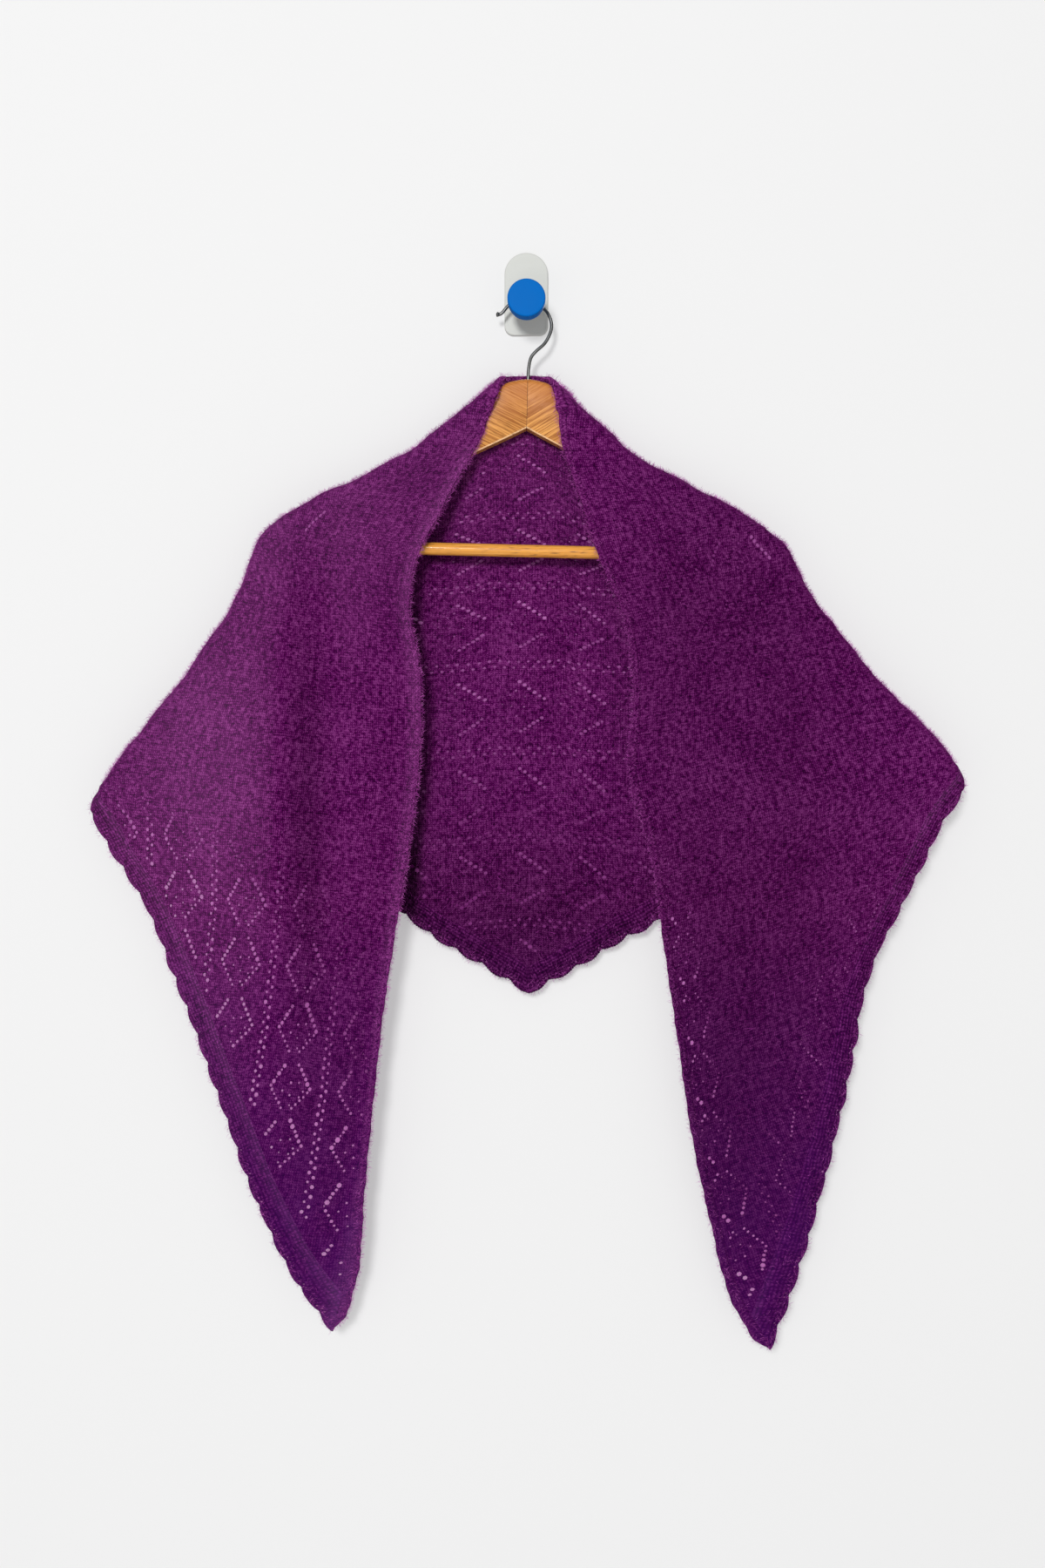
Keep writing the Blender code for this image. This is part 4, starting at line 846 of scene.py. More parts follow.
def tone_of(points, s, v):
    """How much lighter than plain the cloth looks at each point: soft patches of light and shade."""
    fold = fold_line(np.abs(s))
    tone = EDGE_TONE * hump(v, 5.0, EDGE_WIDTH) * (s < -ROLL_FROM)
    tone = tone + FOLD_TONE * hump(v, fold, FOLD_WIDTH) * (np.abs(s) > NECK_AT)
    for layer, x, z, half_x, half_z, amount in TONES:
        patch = hump(points[:, 0], x, half_x) * hump(points[:, 2], z, half_z)
        tone = tone + amount * patch * ((v < fold) == (layer == "front"))
    return tone


def shell(name, net, thickness, materials, along=None):
    """The net hung twice, thickness apart, with walls round its rims; along gives another map."""
    flat, faces = net
    count = len(flat)
    right, wrong = (hang(flat[:, 0], flat[:, 1], lift) for lift in (thickness / 2, -thickness / 2))
    sides = np.concatenate([faces[:, [0, 1]], faces[:, [1, 2]], faces[:, [2, 0]]])
    rim = sides[~np.isin(sides @ [count, 1], sides @ [1, count])]
    a, b = rim[:, 0], rim[:, 1]
    walls = np.concatenate([
        np.stack([a, b, b + count], axis=1), np.stack([a, b + count, a + count], axis=1)])
    every = np.concatenate([faces[:, ::-1], faces + count, walls])
    places = flat if along is None else along(flat)
    piece = make_piece(name, np.concatenate([right, wrong]), every.tolist(), materials, np.tile(places, (2, 1)))
    # painted light and shade from the patches above, carried on the points as the tone attribute
    tones = tone_of(right, flat[:, 0], flat[:, 1])
    if along is not None:
        tones = tones + EDGING_TONE * ramp(places[:, 1], TONE_FROM, TONE_WIDTH)
    float_layer(piece.data, "tone", np.tile(tones, 2))
    return piece


print("soft patches of light and shade:", len(TONES))

# %% The flat drawing of the cloth
CLOTH_THICK = 1.5
GRID, GRID_TALL = 6.4, 0.87            # spacing of the loose points, and their rows' share of it
BESIDE_FOLD = (0.0, 1.6, 4.2, 7.6, 11.6, 16.0)
FOLD_STEP = 6.0
RIM_CLEARANCE, RING_CLEARANCE = 2.2, 1.3
ROUND_SIDES, SMALL_SIDES = 6, 5
SMALL_EYELET = 0.95


def ring_round(s, v, half_s, half_v):
    sides = ROUND_SIDES if half_s > SMALL_EYELET else SMALL_SIDES
    turns = (np.arange(sides) + 0.5 * (int(s) % 2)) * 2 * math.pi / sides
    return np.stack([s + half_s * np.cos(turns), v + half_v * np.sin(turns)], axis=1)


def cloth_outline():
    low = [(u, BAND_WIDTH) for u in low_stations]
    hem = [(u, float(inset_v(u, EDGING_WIDTH))) for u in hem_stations[-2::-1]]
    return [(-u, v) for u, v in low[:0:-1]] + low + hem + [(-u, v) for u, v in hem[-2::-1]]


def loose_points():
    """A staggered grid, and rows that follow the fold closely, where the cloth turns."""
    rows_v = np.arange(BAND_WIDTH + 4.0, SHAWL_DROP, GRID * GRID_TALL)
    grid_s, grid_v = np.meshgrid(np.arange(-SHAWL_HALF, SHAWL_HALF, GRID), rows_v)
    grid_s = grid_s + (np.arange(len(rows_v)) % 2)[:, None] * GRID / 2
    grid = np.stack([grid_s.ravel(), grid_v.ravel()], axis=1)
    u = np.abs(grid[:, 0])
    parts = [grid[(np.abs(grid[:, 1] - fold_line(u)) > BESIDE_FOLD[-1] + GRID * 0.6) | (u < NECK_AT)]]
    fold_u = stations(NECK_AT + 10.0, CORNER_IN - 1.0, FOLD_STEP)
    for k, off in enumerate(BESIDE_FOLD):
        shifted = fold_u + (k % 2) * FOLD_STEP / 2
        for toward in ((-1, 1) if off else (1,)):
            for side in (-1, 1):
                parts.append(np.stack([side * shifted, fold_line(shifted) + toward * off], axis=1))
    points = np.concatenate(parts)
    inside = hem_distance_inside(points[:, 0], points[:, 1]) > EDGING_WIDTH + RIM_CLEARANCE
    return points[inside & (points[:, 1] > BAND_WIDTH + RIM_CLEARANCE)]


def clear_of(points, eyelets, apart):
    """The points that keep apart from every eyelet."""
    tree = tree_of(eyelets)
    kept = []
    for s, v in points.tolist():
        _, i, away = tree.find((s, v, 0.0))
        kept.append(away > max(eyelets[i][2:4]) + apart)
    return points[np.array(kept)]


cloth_net = flat_net(cloth_outline(), clear_of(loose_points(), eyelets, RING_CLEARANCE),
                     [ring_round(*row[:4]) for row in eyelets])
print("flat net:", len(cloth_net[0]), "points,", len(cloth_net[1]), "triangles a side")

# %% [markdown]
# ## Yarn, seen as a surface
# A stitch of this knitting is 2.1 mm wide and 1.7 mm tall, too small and too many to model. One shader group draws
# it: two slanted legs a stitch, a narrow valley between the columns, and yarn that is marled light and dark. The
# same group serves the cloth, the edging and the rolled edge, each with its own sizes and colours.


# %% Helpers for shader groups
def new_group(name, inputs, outputs):
    """A shader node group; an input's value says its kind, and Color is the one output that is a colour."""
    group = bpy.data.node_groups.new(name, "ShaderNodeTree")
    for label, value in inputs.items():
        kind = "Vector" if value is None else "Float" if isinstance(value, float) else "Color"
        socket = group.interface.new_socket(label, in_out="INPUT", socket_type="NodeSocket" + kind)
        if value is not None:
            socket.default_value = (*value, 1.0) if kind == "Color" else value
    for label in outputs:
        kind = "NodeSocketColor" if label == "Color" else "NodeSocketFloat"
        group.interface.new_socket(label, in_out="OUTPUT", socket_type=kind)
    return group, group.nodes.new("NodeGroupInput").outputs, group.nodes.new("NodeGroupOutput")


def noise(tree, vector, scale, detail=2.0, rough=0.5):
    return Value(tree, add_node(tree, "ShaderNodeTexNoise", {
        "Vector": vector, "Scale": scale, "Detail": detail, "Roughness": rough}).outputs[0])


def blend(tree, factor, a, b):
    return add_node(tree, "ShaderNodeMix", {0: factor, 6: a, 7: b}, data_type="RGBA").outputs[2]


def split(tree, vector):
    return [Value(tree, part) for part in add_node(tree, "ShaderNodeSeparateXYZ", {0: vector}).outputs]


def stretched(tree, vector, scale):
    return add_node(tree, "ShaderNodeMapping", {0: vector, "Scale": scale}).outputs[0]


def object_place(tree):
    return add_node(tree, "ShaderNodeTexCoord").outputs["Object"]


def bumped(tree, height, strength, deep):
    inputs = {"Height": height, "Strength": strength, "Distance": deep}
    return add_node(tree, "ShaderNodeBump", inputs).outputs[0]


def layer_of(tree, name):
    """A value that the piece carries at its points."""
    return Value(tree, add_node(tree, "ShaderNodeAttribute", attribute_name=name).outputs["Fac"])


# %% The yarn group
STITCH_WIDE, STITCH_TALL = REPEAT_S * MM / 24, 0.0017
WANDER = 0.0042                        # how far a column of stitches strays, in metres
COOL_FROM, COOL_TO = -0.52, -0.8       # the low tips are dyed a little cooler
yarn, enter, leave = new_group("marled_yarn", {
    "Place": None, "Hang": None, "Stitch Wide": STITCH_WIDE, "Stitch Tall": STITCH_TALL, "Leg Slant": 0.9,
    "Dark": (0.026, 0.0004, 0.027), "Middle": (0.1, 0.0008, 0.088), "Light": (0.265, 0.043, 0.23),
    "Cool": (0.052, 0.0025, 0.1), "Marl": 1.0, "Tone": 0.0, "Bloom": (0.5, 0.27, 0.46),
}, ("Color", "Height", "Roughness"))
place = enter["Place"]
wander = (noise(yarn, place, 55.0, 3.0) - 0.5) * WANDER
along, across, _ = split(yarn, place)
column = abs(((along + wander) / enter["Stitch Wide"]).math("FRACT") - 0.5)
leg = (across - wander) / enter["Stitch Tall"] + column * enter["Leg Slant"]
valley = column.spread(0.5, 0.3)
stitch = abs((leg * math.pi).math("SINE")) * valley.times_plus(0.75, 0.25)
fine = noise(yarn, stretched(yarn, place, (1.0, 0.55, 1.0)), 620.0, 3.0, 0.65)
middling = noise(yarn, place, 210.0, 2.0, 0.6)
cloud = noise(yarn, enter["Hang"], 28.0, 3.0, 0.55)
marl = 0.5
# columns: what marls the yarn, its middle, how strongly it shows
MARLS = [(fine, 0.5, 2.2), (middling, 0.5, 1.6), (cloud, 0.5, 0.55), (stitch, 0.45, 0.5)]
for pattern, middle, strength in MARLS:
    marl = (pattern - middle).times_plus(strength, marl)
marl = (marl - 0.5).times_plus(enter["Marl"], 0.5)
darker = blend(yarn, marl.spread(0.05, 0.5), enter["Dark"], enter["Middle"])
colour = blend(yarn, marl.spread(0.5, 1.1), darker, enter["Light"])
cool_share = split(yarn, enter["Hang"])[2].spread(COOL_FROM, COOL_TO) * cloud.times_plus(0.55, 0.3)
# painted light and shade: the piece's tone attribute makes the yarn's colour lighter or darker
tone = Value(yarn, enter["Tone"])
lit = add_node(yarn, "ShaderNodeVectorMath", {
    0: blend(yarn, cool_share, colour, enter["Cool"]), "Scale": tone + 1.0}, operation="SCALE")
# painted sheen: where the painted light is lighter, a pale pink is mixed in
painted_sheen = tone.spread(-0.1, 0.12) * 0.06
fill(yarn, leave, {"Color": blend(yarn, painted_sheen, lit.outputs[0], enter["Bloom"]),
                   "Height": fine.times_plus(0.5, stitch), "Roughness": fine.times_plus(0.2, 0.72)})
print("yarn group:", len(yarn.nodes), "nodes")

# %% Knitted materials
SHEEN = {"Sheen Weight": 0.12, "Sheen Roughness": 0.4, "Sheen Tint": (0.8, 0.05, 0.7),
         "Specular IOR Level": 0.025}


def knitted_material(name, height_mm, values={}):
    material, tree, shader = new_material(name, (0.1, 0.01, 0.1), 0.85, inputs=SHEEN)
    own_map = add_node(tree, "ShaderNodeUVMap", uv_map="flat_cut")
    body = add_node(tree, "ShaderNodeGroup", node_tree=yarn)
    # each piece's painted light and shade comes in from its tone attribute
    fill(tree, body, {"Place": own_map.outputs[0], "Hang": object_place(tree), "Tone": layer_of(tree, "tone"),
                      **values})
    fill(tree, shader, {"Base Color": body.outputs["Color"], "Roughness": body.outputs["Roughness"],
                        "Normal": bumped(tree, body.outputs["Height"], 1.0, height_mm * MM)})
    return material


def mottled_yarn(name, deep, pale, scale, low=0.3, roughness=0.6, specular=0.1):
    """Yarn seen as short bits, such as hairs and beads of a chain, mottled between two colours."""
    material, tree, shader = new_material(name, deep, roughness, inputs={"Specular IOR Level": specular})
    share = noise(tree, object_place(tree), scale).spread(low, 0.7)
    fill(tree, shader, {"Base Color": blend(tree, share, deep, pale)})
    return material


cloth_yarn = knitted_material("lace_knit", 0.45)
edging_yarn = knitted_material("edging_knit", 0.7, {
    "Stitch Wide": 0.0030, "Stitch Tall": 0.0024, "Leg Slant": 0.3,
    "Dark": (0.02, 0.0003, 0.021), "Middle": (0.076, 0.0018, 0.07), "Light": (0.22, 0.028, 0.2)})
selvedge_yarn = knitted_material("selvedge_knit", 0.7, {
    "Stitch Wide": 0.0034, "Stitch Tall": 0.0026, "Leg Slant": 1.2,
    "Dark": (0.035, 0.0006, 0.036), "Middle": (0.115, 0.004, 0.1)})
CHAIN = {"scale": 420.0, "low": 0.35, "roughness": 0.85, "specular": 0.04}
bind_off_yarn = mottled_yarn("bind_off_yarn", (0.012, 0.0004, 0.014), (0.07, 0.006, 0.072), **CHAIN)
slip_yarn = mottled_yarn("slip_yarn", (0.13, 0.008, 0.115), (0.34, 0.06, 0.3), **CHAIN)
print("knitted materials:", cloth_yarn.name, edging_yarn.name, selvedge_yarn.name, slip_yarn.name)

# %% The cloth itself
lace_cloth = shell("lace_cloth", cloth_net, CLOTH_THICK, [cloth_yarn])
print("lace_cloth:", len(lace_cloth.data.polygons), "triangles")

# %% Hair across the eyelets
VEIL_THICK, VEIL_OVERLAP = 0.16, 1.06
VEIL_PALE, VEIL_DEEP = (0.5, 0.15, 0.46), (0.12, 0.008, 0.105)


def veils(holes):
    """A thin closed lens of hair in every hole, with its haze as a value of its points."""
    rings = [ring_round(s, v, half_s * VEIL_OVERLAP, half_v * VEIL_OVERLAP) for s, v, half_s, half_v, _ in holes]
    sides = np.array([len(ring) for ring in rings])
    rims = np.concatenate(rings)
    middles = np.array([row[:2] for row in holes])
    points = np.concatenate([hang(rims[:, 0], rims[:, 1]), hang(middles[:, 0], middles[:, 1], VEIL_THICK / 2),
                             hang(middles[:, 0], middles[:, 1], -VEIL_THICK / 2)])
    faces = []
    for k, (last, count) in enumerate(zip(np.cumsum(sides).tolist(), sides.tolist())):
        top, bottom = len(rims) + k, len(rims) + len(holes) + k
        for i in range(count):
            a, b = last - count + i, last - count + (i + 1) % count
            faces += [(b, a, top), (a, b, bottom)]
    hazes = np.array([row[4] for row in holes])
    piece = make_piece("mohair_across", points, faces, [veil_hair])
    float_layer(piece.data, "haze", np.concatenate([np.repeat(hazes, sides), hazes, hazes]))
    return piece


veil_hair, tree, shader = new_material("veil_hair", (0.4, 0.02, 0.38), 0.8, inputs={"Specular IOR Level": 0.0})
hazy = layer_of(tree, "haze")
strands = noise(tree, object_place(tree), 900.0).spread(0.3, 0.7)
fill(tree, shader, {
    "Base Color": blend(tree, hazy.spread(0.45, 1.0), VEIL_PALE, VEIL_DEEP),
    "Alpha": hazy.times_plus(0.75, 0.4).math("MULTIPLY", strands.times_plus(0.3, 0.85), clamp=True)})
print("veil:", veil_hair.name)

# %% [markdown]
# ## The edging
# A narrow edging is knitted on along both short sides. Its rim rises and falls in shallow scallops, curls a little
# to the front, and has small holes just inside each notch. It is a shell of its own on the same surface, so it
# joins the cloth in a crease.

# %% The scalloped edging
EDGING_THICK = 1.8
EDGING_INSETS = (13.4, 10.8, 8.2, 5.7, 3.4, 1.2, -0.9)
EDGING_STEP = 3.0
RIM_STEP = SCALLOP_PITCH / 14
# columns: distance from a notch, rim to the hole's middle, half size
NOTCH_HOLES = [(-5.4, 2.8, 0.5), (-1.8, 2.5, 0.66), (2.2, 2.7, 0.54)]
LEAST_NOTCH_HOLE, HOLE_LONGER, HOLE_CLEARANCE = 0.5, 1.1, 0.8
HOLE_SHIFT, HOLE_UNEVEN = 0.25, 0.2
RIM_HAZE = 0.6
hem_end = solve(lambda d: scallop_point(d)[1] - BAND_WIDTH, 900.0, HEM_LENGTH)


def along_the_hem(flat):
    """The edging's own map: distance along the hem, and distance inside it."""
    u = np.abs(flat[:, 0])
    distance = u * math.cos(HEM_ANGLE) + (SHAWL_DROP - flat[:, 1]) * math.sin(HEM_ANGLE)
    return np.stack([np.sign(flat[:, 0]) * distance, hem_distance_inside(flat[:, 0], flat[:, 1])], axis=1)


def edging_outline():
    inner = [(u, float(inset_v(u, EDGING_WIDTH))) for u in hem_stations]
    first = math.ceil(-FIRST_NOTCH / RIM_STEP) + 1
    distances = FIRST_NOTCH + RIM_STEP * np.arange(first, math.ceil((hem_end - FIRST_NOTCH) / RIM_STEP))
    rim = [scallop_point(d) for d in distances if 2.0 < d < hem_end - 0.8] + [scallop_point(hem_end)]
    point = (0.0, SHAWL_DROP + scallop(0.0) / math.cos(HEM_ANGLE))
    return [(-u, v) for u, v in inner[:0:-1]] + inner + rim[::-1] + [point] + [(-u, v) for u, v in rim]


def edging_points():
    """Loose points in rows that follow the hem, each row shifted by half a step."""
    loose = []
    for k, inset in enumerate(EDGING_INSETS):
        for d in stations(3.0 + 0.6 * max(inset, 0.0), hem_end - 1.5, EDGING_STEP)[:-1]:
            d = d + (k % 2) * EDGING_STEP / 2
            u, v = off_the_hem(1, d, inset)
            if -inset < scallop(d) - 0.9 and v > BAND_WIDTH + 1.2 and u > 1.5:
                loose += [(u, v), (-u, v)]
    return np.array(loose)


def holes_at_notches():
    holes = []
    for notch in np.arange(FIRST_NOTCH, hem_end - SCALLOP_PITCH / 2, SCALLOP_PITCH):
        for away, inside_rim, half in NOTCH_HOLES:
            d = notch + away + jitter.normal(0.0, HOLE_SHIFT)
            u, v = off_the_hem(1, d, inside_rim - scallop(d))
            for side in (-1, 1):
                size = half * math.exp(jitter.normal(0.0, HOLE_UNEVEN))
                if size > LEAST_NOTCH_HOLE:
                    holes.append((side * u, v, size * HOLE_LONGER, size))
    return holes


notch_holes = holes_at_notches()
edging_net = flat_net(edging_outline(), clear_of(edging_points(), notch_holes, HOLE_CLEARANCE),
                      [ring_round(*hole) for hole in notch_holes])
scalloped_edging = shell("scalloped_edging", edging_net, EDGING_THICK, [edging_yarn], along_the_hem)
mohair_across = veils(eyelets + [(*hole, RIM_HAZE) for hole in notch_holes])
print("mohair_across:", len(mohair_across.data.polygons), "triangles")
print("scalloped_edging:", len(scalloped_edging.data.polygons), "triangles")

# %% [markdown]
# ## The rolled long edge
# The long edge is a slip-stitch selvedge that rolls on itself. It is a bead with a shallow groove, swept from tip
# to tip, plump and soft on the left and narrower on the right, where the two ridges of the stitches show.


# %% Tubes and closed meshes
def tube_faces(rings, sides):
    """Quads between rings of points, and a cap at each end."""
    faces = []
    for ring in range(rings - 1):
        a, b = ring * sides, (ring + 1) * sides
        faces += [(a + i, b + i, b + (i + 1) % sides, a + (i + 1) % sides) for i in range(sides)]
    faces.append(tuple(range(sides)))
    faces.append(tuple(range(rings * sides - 1, (rings - 1) * sides - 1, -1)))
    return faces


def volume_of(piece):
    """The signed volume of a closed mesh: negative if it is inside out."""
    total = 0.0
    for face in piece.data.polygons:
        corners = [piece.data.vertices[i].co for i in face.vertices]
        for b, c in zip(corners[1:], corners[2:]):
            total += corners[0].dot(b.cross(c)) / 6
    return total


def face_outwards(piece):
    if volume_of(piece) < 0:
        piece.data.flip_normals()
    return piece


def volumes(*pieces):
    return [(piece.name, round(volume_of(piece) * 1e6, 2)) for piece in pieces]


print("edging, in cm3:", volumes(scalloped_edging))

# %% The selvedge
BAND_ROUND = 14
BAND_STEP = 2.4
BAND_END = scallop_point(hem_end)[0] - 0.6
GROOVE, GROOVE_WIDE, LEFT_GROOVE = 0.24, 0.5, 0.35
BEAD_PITCH, BEAD_RISE, BEAD_TURN = 3.9, 0.16, 1.2
BAND_OVERLAP = 0.6                 # the bead reaches this far over the cloth
BAND_TAPER, LEAST_TAPER = 12.0, 0.05
MAP_RADIUS = 2.2


def selvedge_points():
    places = stations(-BAND_END, BAND_END, BAND_STEP)
    turns = (np.arange(BAND_ROUND) + 0.5) * 2 * math.pi / BAND_ROUND
    s, t = np.meshgrid(places, turns, indexing="ij")
    plump = ramp(s, -60.0, 120.0)
    taper = np.clip((BAND_END - np.abs(s)) / BAND_TAPER, LEAST_TAPER, 1.0) ** 0.7
    uneven = 1.0 + 0.05 * np.sin(s * 0.16 + 1.0) + 0.04 * np.sin(s * 0.41)
    beads = 1.0 + BEAD_RISE * np.sin(2 * math.pi * s / BEAD_PITCH + np.sign(np.cos(t)) * BEAD_TURN) * plump
    groove = 1.0 - GROOVE * hump(t, math.pi / 2, GROOVE_WIDE) * (LEFT_GROOVE + (1.0 - LEFT_GROOVE) * plump)
    half_wide = (BAND_WIDTH / 2) * taper * uneven * 1.04
    half_thick = (BAND_THICK / 2) * taper * uneven * beads * groove
    v = BAND_WIDTH + BAND_OVERLAP - (half_wide + BAND_OVERLAP / 2) * (1.0 - np.cos(t))
    points = hang(s, v, half_thick * np.sin(t)).reshape(-1, 3)
    flat = np.stack([s.ravel(), t.ravel() * MAP_RADIUS], axis=1)
    return places, turns, points, flat, tone_of(points, s.ravel(), v.ravel())


places, turns, points, flat, tones = selvedge_points()
rolled_selvedge = face_outwards(make_piece(
    "rolled_selvedge", points, tube_faces(len(places), BAND_ROUND), [selvedge_yarn], flat))
# the selvedge carries the same painted light and shade
float_layer(rolled_selvedge.data, "tone", tones)
print("selvedge, in cm3:", volumes(rolled_selvedge))

# %% [markdown]
# ## Bound-off stitches
# The rim of the edging is bound off: a chain of small tight loops that follows the scallops. Geometry Nodes suit
# what repeats along a path, so one tree takes a path, a bead and a spacing and lays the bead along it. The same
# tree draws the two chains of slip stitches on the right edge.


# %% Helpers for geometry trees
def new_tree(name, inputs):
    """A geometry tree that takes geometry and the named inputs, each with its kind and value."""
    tree = bpy.data.node_groups.new(name, "GeometryNodeTree")
    for label, (kind, value) in {"Geometry": ("Geometry", None), **inputs}.items():
        socket = tree.interface.new_socket(label, in_out="INPUT", socket_type="NodeSocket" + kind)
        if value is not None:
            socket.default_value = value
    tree.interface.new_socket("Geometry", in_out="OUTPUT", socket_type="NodeSocketGeometry")
    return tree, tree.nodes.new("NodeGroupInput").outputs


def made_real(tree, instances, material):
    """The end of a tree: its instances become plain geometry with a material."""
    real = add_node(tree, "GeometryNodeRealizeInstances", {0: instances})
    paint = add_node(tree, "GeometryNodeSetMaterial", {"Geometry": real.outputs[0], "Material": material})
    fill(tree, tree.nodes.new("NodeGroupOutput"), {0: paint.outputs[0]})
    print(tree.name + ":", len(tree.nodes), "nodes")


def grown(source, tree, name, values, remove_source=False):
    """The result of a geometry tree on an object, as a plain mesh object of its own."""
    modifier = source.modifiers.new("grow", "NODES")
    modifier.node_group = tree
    for item in tree.interface.items_tree:
        if item.in_out == "INPUT" and item.name in values:
            modifier[item.identifier] = values[item.name]
    evaluated = source.evaluated_get(bpy.context.evaluated_depsgraph_get())
    mesh = bpy.data.meshes.new_from_object(evaluated)
    source.modifiers.remove(modifier)
    mesh.name = name
    if remove_source:
        bpy.data.objects.remove(source)
    return placed(name, mesh)


# %% Stitches along a path
SMALLEST_BEAD, LARGEST_BEAD = 0.8, 1.2
chain, enter = new_tree("stitches_along_a_path", {
    "Bead": ("Object", None), "Spacing": ("Float", 0.0022), "Bead Size": ("Float", 1.0),
    "Lean": ("Float", 0.35), "Seed": ("Int", 1), "Material": ("Material", None)})
as_curve = add_node(chain, "GeometryNodeMeshToCurve", {0: enter["Geometry"]})
spaced = add_node(chain, "GeometryNodeResampleCurve", {
    "Curve": as_curve.outputs[0], "Length": enter["Spacing"]}, mode="LENGTH")
bead_in = add_node(chain, "GeometryNodeObjectInfo", {0: enter["Bead"]})
along = add_node(chain, "GeometryNodeInputTangent")
turn = add_node(chain, "FunctionNodeAlignRotationToVector", {"Vector": along.outputs[0]}, axis="X")
lean_by = add_node(chain, "ShaderNodeCombineXYZ", {2: enter["Lean"]})
lean = add_node(chain, "FunctionNodeRotateRotation", {
    0: turn.outputs[0], 1: lean_by.outputs[0]}, rotation_space="LOCAL")
vary = add_node(chain, "FunctionNodeRandomValue", {
    2: SMALLEST_BEAD, 3: LARGEST_BEAD, "Seed": enter["Seed"]}, data_type="FLOAT")
laid = add_node(chain, "GeometryNodeInstanceOnPoints", {
    "Points": spaced.outputs[0], "Instance": bead_in.outputs["Geometry"], "Rotation": lean.outputs[0],
    "Scale": Value(chain, vary.outputs[1]) * enter["Bead Size"]})
made_real(chain, laid.outputs[0], enter["Material"])


# %% The bead and the paths
def small_bead(name, long, wide, rings=3, sides=6):
    """A closed bead along X, from ring to ring between two tips, in millimetres."""
    points = [(-long / 2, 0.0, 0.0)]
    for k in range(1, rings + 1):
        share = k / (rings + 1)
        radius = wide / 2 * math.sin(math.pi * share) ** 0.7
        for i in range(sides):
            t = 2 * math.pi * i / sides
            points.append((long * (share - 0.5), radius * math.cos(t), radius * math.sin(t)))
    points.append((long / 2, 0.0, 0.0))
    faces = [(0, 1 + (i + 1) % sides, 1 + i) for i in range(sides)]
    for k in range(rings - 1):
        a, b = 1 + k * sides, 1 + (k + 1) * sides
        faces += [(a + i, a + (i + 1) % sides, b + (i + 1) % sides, b + i) for i in range(sides)]
    a, last = 1 + (rings - 1) * sides, len(points) - 1
    faces += [(a + i, a + (i + 1) % sides, last) for i in range(sides)]
    return face_outwards(make_piece(name, points, faces))


def path_piece(name, points):
    mesh = bpy.data.meshes.new(name)
    mesh.from_pydata(np.asarray(points) * MM, [(i, i + 1) for i in range(len(points) - 1)], [])
    return placed(name, mesh)


def rim_path(inside_rim=0.3, lift=0.5):
    """The line just inside the scalloped rim, from tip to tip."""
    places = [off_the_hem(1, d, inside_rim - scallop(d)) for d in np.arange(0.0, hem_end, 1.0)
              if d > 0.9 or d == 0.0]
    places = [(u, v) for u, v in places if u >= 0.0]
    flat = np.array([(-u, v) for u, v in places[:0:-1]] + places)
    return hang(flat[:, 0], flat[:, 1], lift)


SLIP_FROM, SLIP_TO, SLIP_LIFT = 62.0, BAND_END - 16.0, 1.1
# columns: share of the selvedge's width, lean
SLIP_CHAINS = [(0.2, 0.45), (0.8, -0.45)]
bead = small_bead("bead", long=2.9, wide=1.75)
bind_off = grown(path_piece("rim", rim_path()), chain, "bind_off_stitches", {
    "Bead": bead, "Spacing": 2.3 * MM, "Bead Size": 1.0, "Lean": 0.4, "Material": bind_off_yarn}, True)
slip_s = np.arange(SLIP_FROM, SLIP_TO, 2.0)
ridges = []
for k, (share, lean_angle) in enumerate(SLIP_CHAINS):
    points = hang(slip_s, np.full(len(slip_s), BAND_WIDTH * share), SLIP_LIFT)
    ridges.append(grown(path_piece("ridge", points), chain, f"slip_stitches_{k + 1}", {
        "Bead": bead, "Spacing": 3.1 * MM, "Bead Size": 1.15, "Lean": lean_angle, "Seed": k + 2,
        "Material": slip_yarn}, True))
bpy.data.objects.remove(bead)
print("bind-off faces:", len(bind_off.data.polygons), "slip stitches:", [len(r.data.polygons) for r in ridges])

# %% [markdown]
# ## Mohair
# Mohair carries a halo of long fine hairs. Each hair here is a slim closed sliver, bent once. A tree scatters
# points over a piece, as thickly as an attribute says, and lays a hair on each, a little off the surface and
# turned any way. The hair is thick where the cloth is seen and thin inside the folds. It is thickest on the rims
# and on a strip along the fold, where the outline of the shawl shows.

# %% The hair tree
ROLLED, LEAST_LIFT = 1.2, 0.02           # angles: either way about a hair's own axis, and the flattest one
halo, enter = new_tree("mohair_halo", {
    "Hair": ("Object", None), "Thickly": ("String", "hair"), "Hairs a Square Metre": ("Float", 60000.0),
    "Lift": ("Float", 0.45), "Shortest": ("Float", 0.5), "Longest": ("Float", 1.5), "Seed": ("Int", 1),
    "Material": ("Material", None)})
share = add_node(halo, "GeometryNodeInputNamedAttribute", {"Name": enter["Thickly"]}, data_type="FLOAT")
scatter = add_node(halo, "GeometryNodeDistributePointsOnFaces", {
    "Mesh": enter["Geometry"], "Seed": enter["Seed"],
    "Density": Value(halo, share.outputs[0]) * enter["Hairs a Square Metre"]})
hair_in = add_node(halo, "GeometryNodeObjectInfo", {0: enter["Hair"]})
low_turn = add_node(halo, "ShaderNodeCombineXYZ", {0: -ROLLED, 1: Value(halo, enter["Lift"]) * -1.0})
high_turn = add_node(halo, "ShaderNodeCombineXYZ", {0: ROLLED, 1: LEAST_LIFT, 2: 2 * math.pi})
any_turn = add_node(halo, "FunctionNodeRandomValue", {
    0: low_turn.outputs[0], 1: high_turn.outputs[0]}, data_type="FLOAT_VECTOR")
as_turn = add_node(halo, "FunctionNodeEulerToRotation", {0: any_turn.outputs[0]})
both = add_node(halo, "FunctionNodeRotateRotation", {
    0: scatter.outputs["Rotation"], 1: as_turn.outputs[0]}, rotation_space="LOCAL")
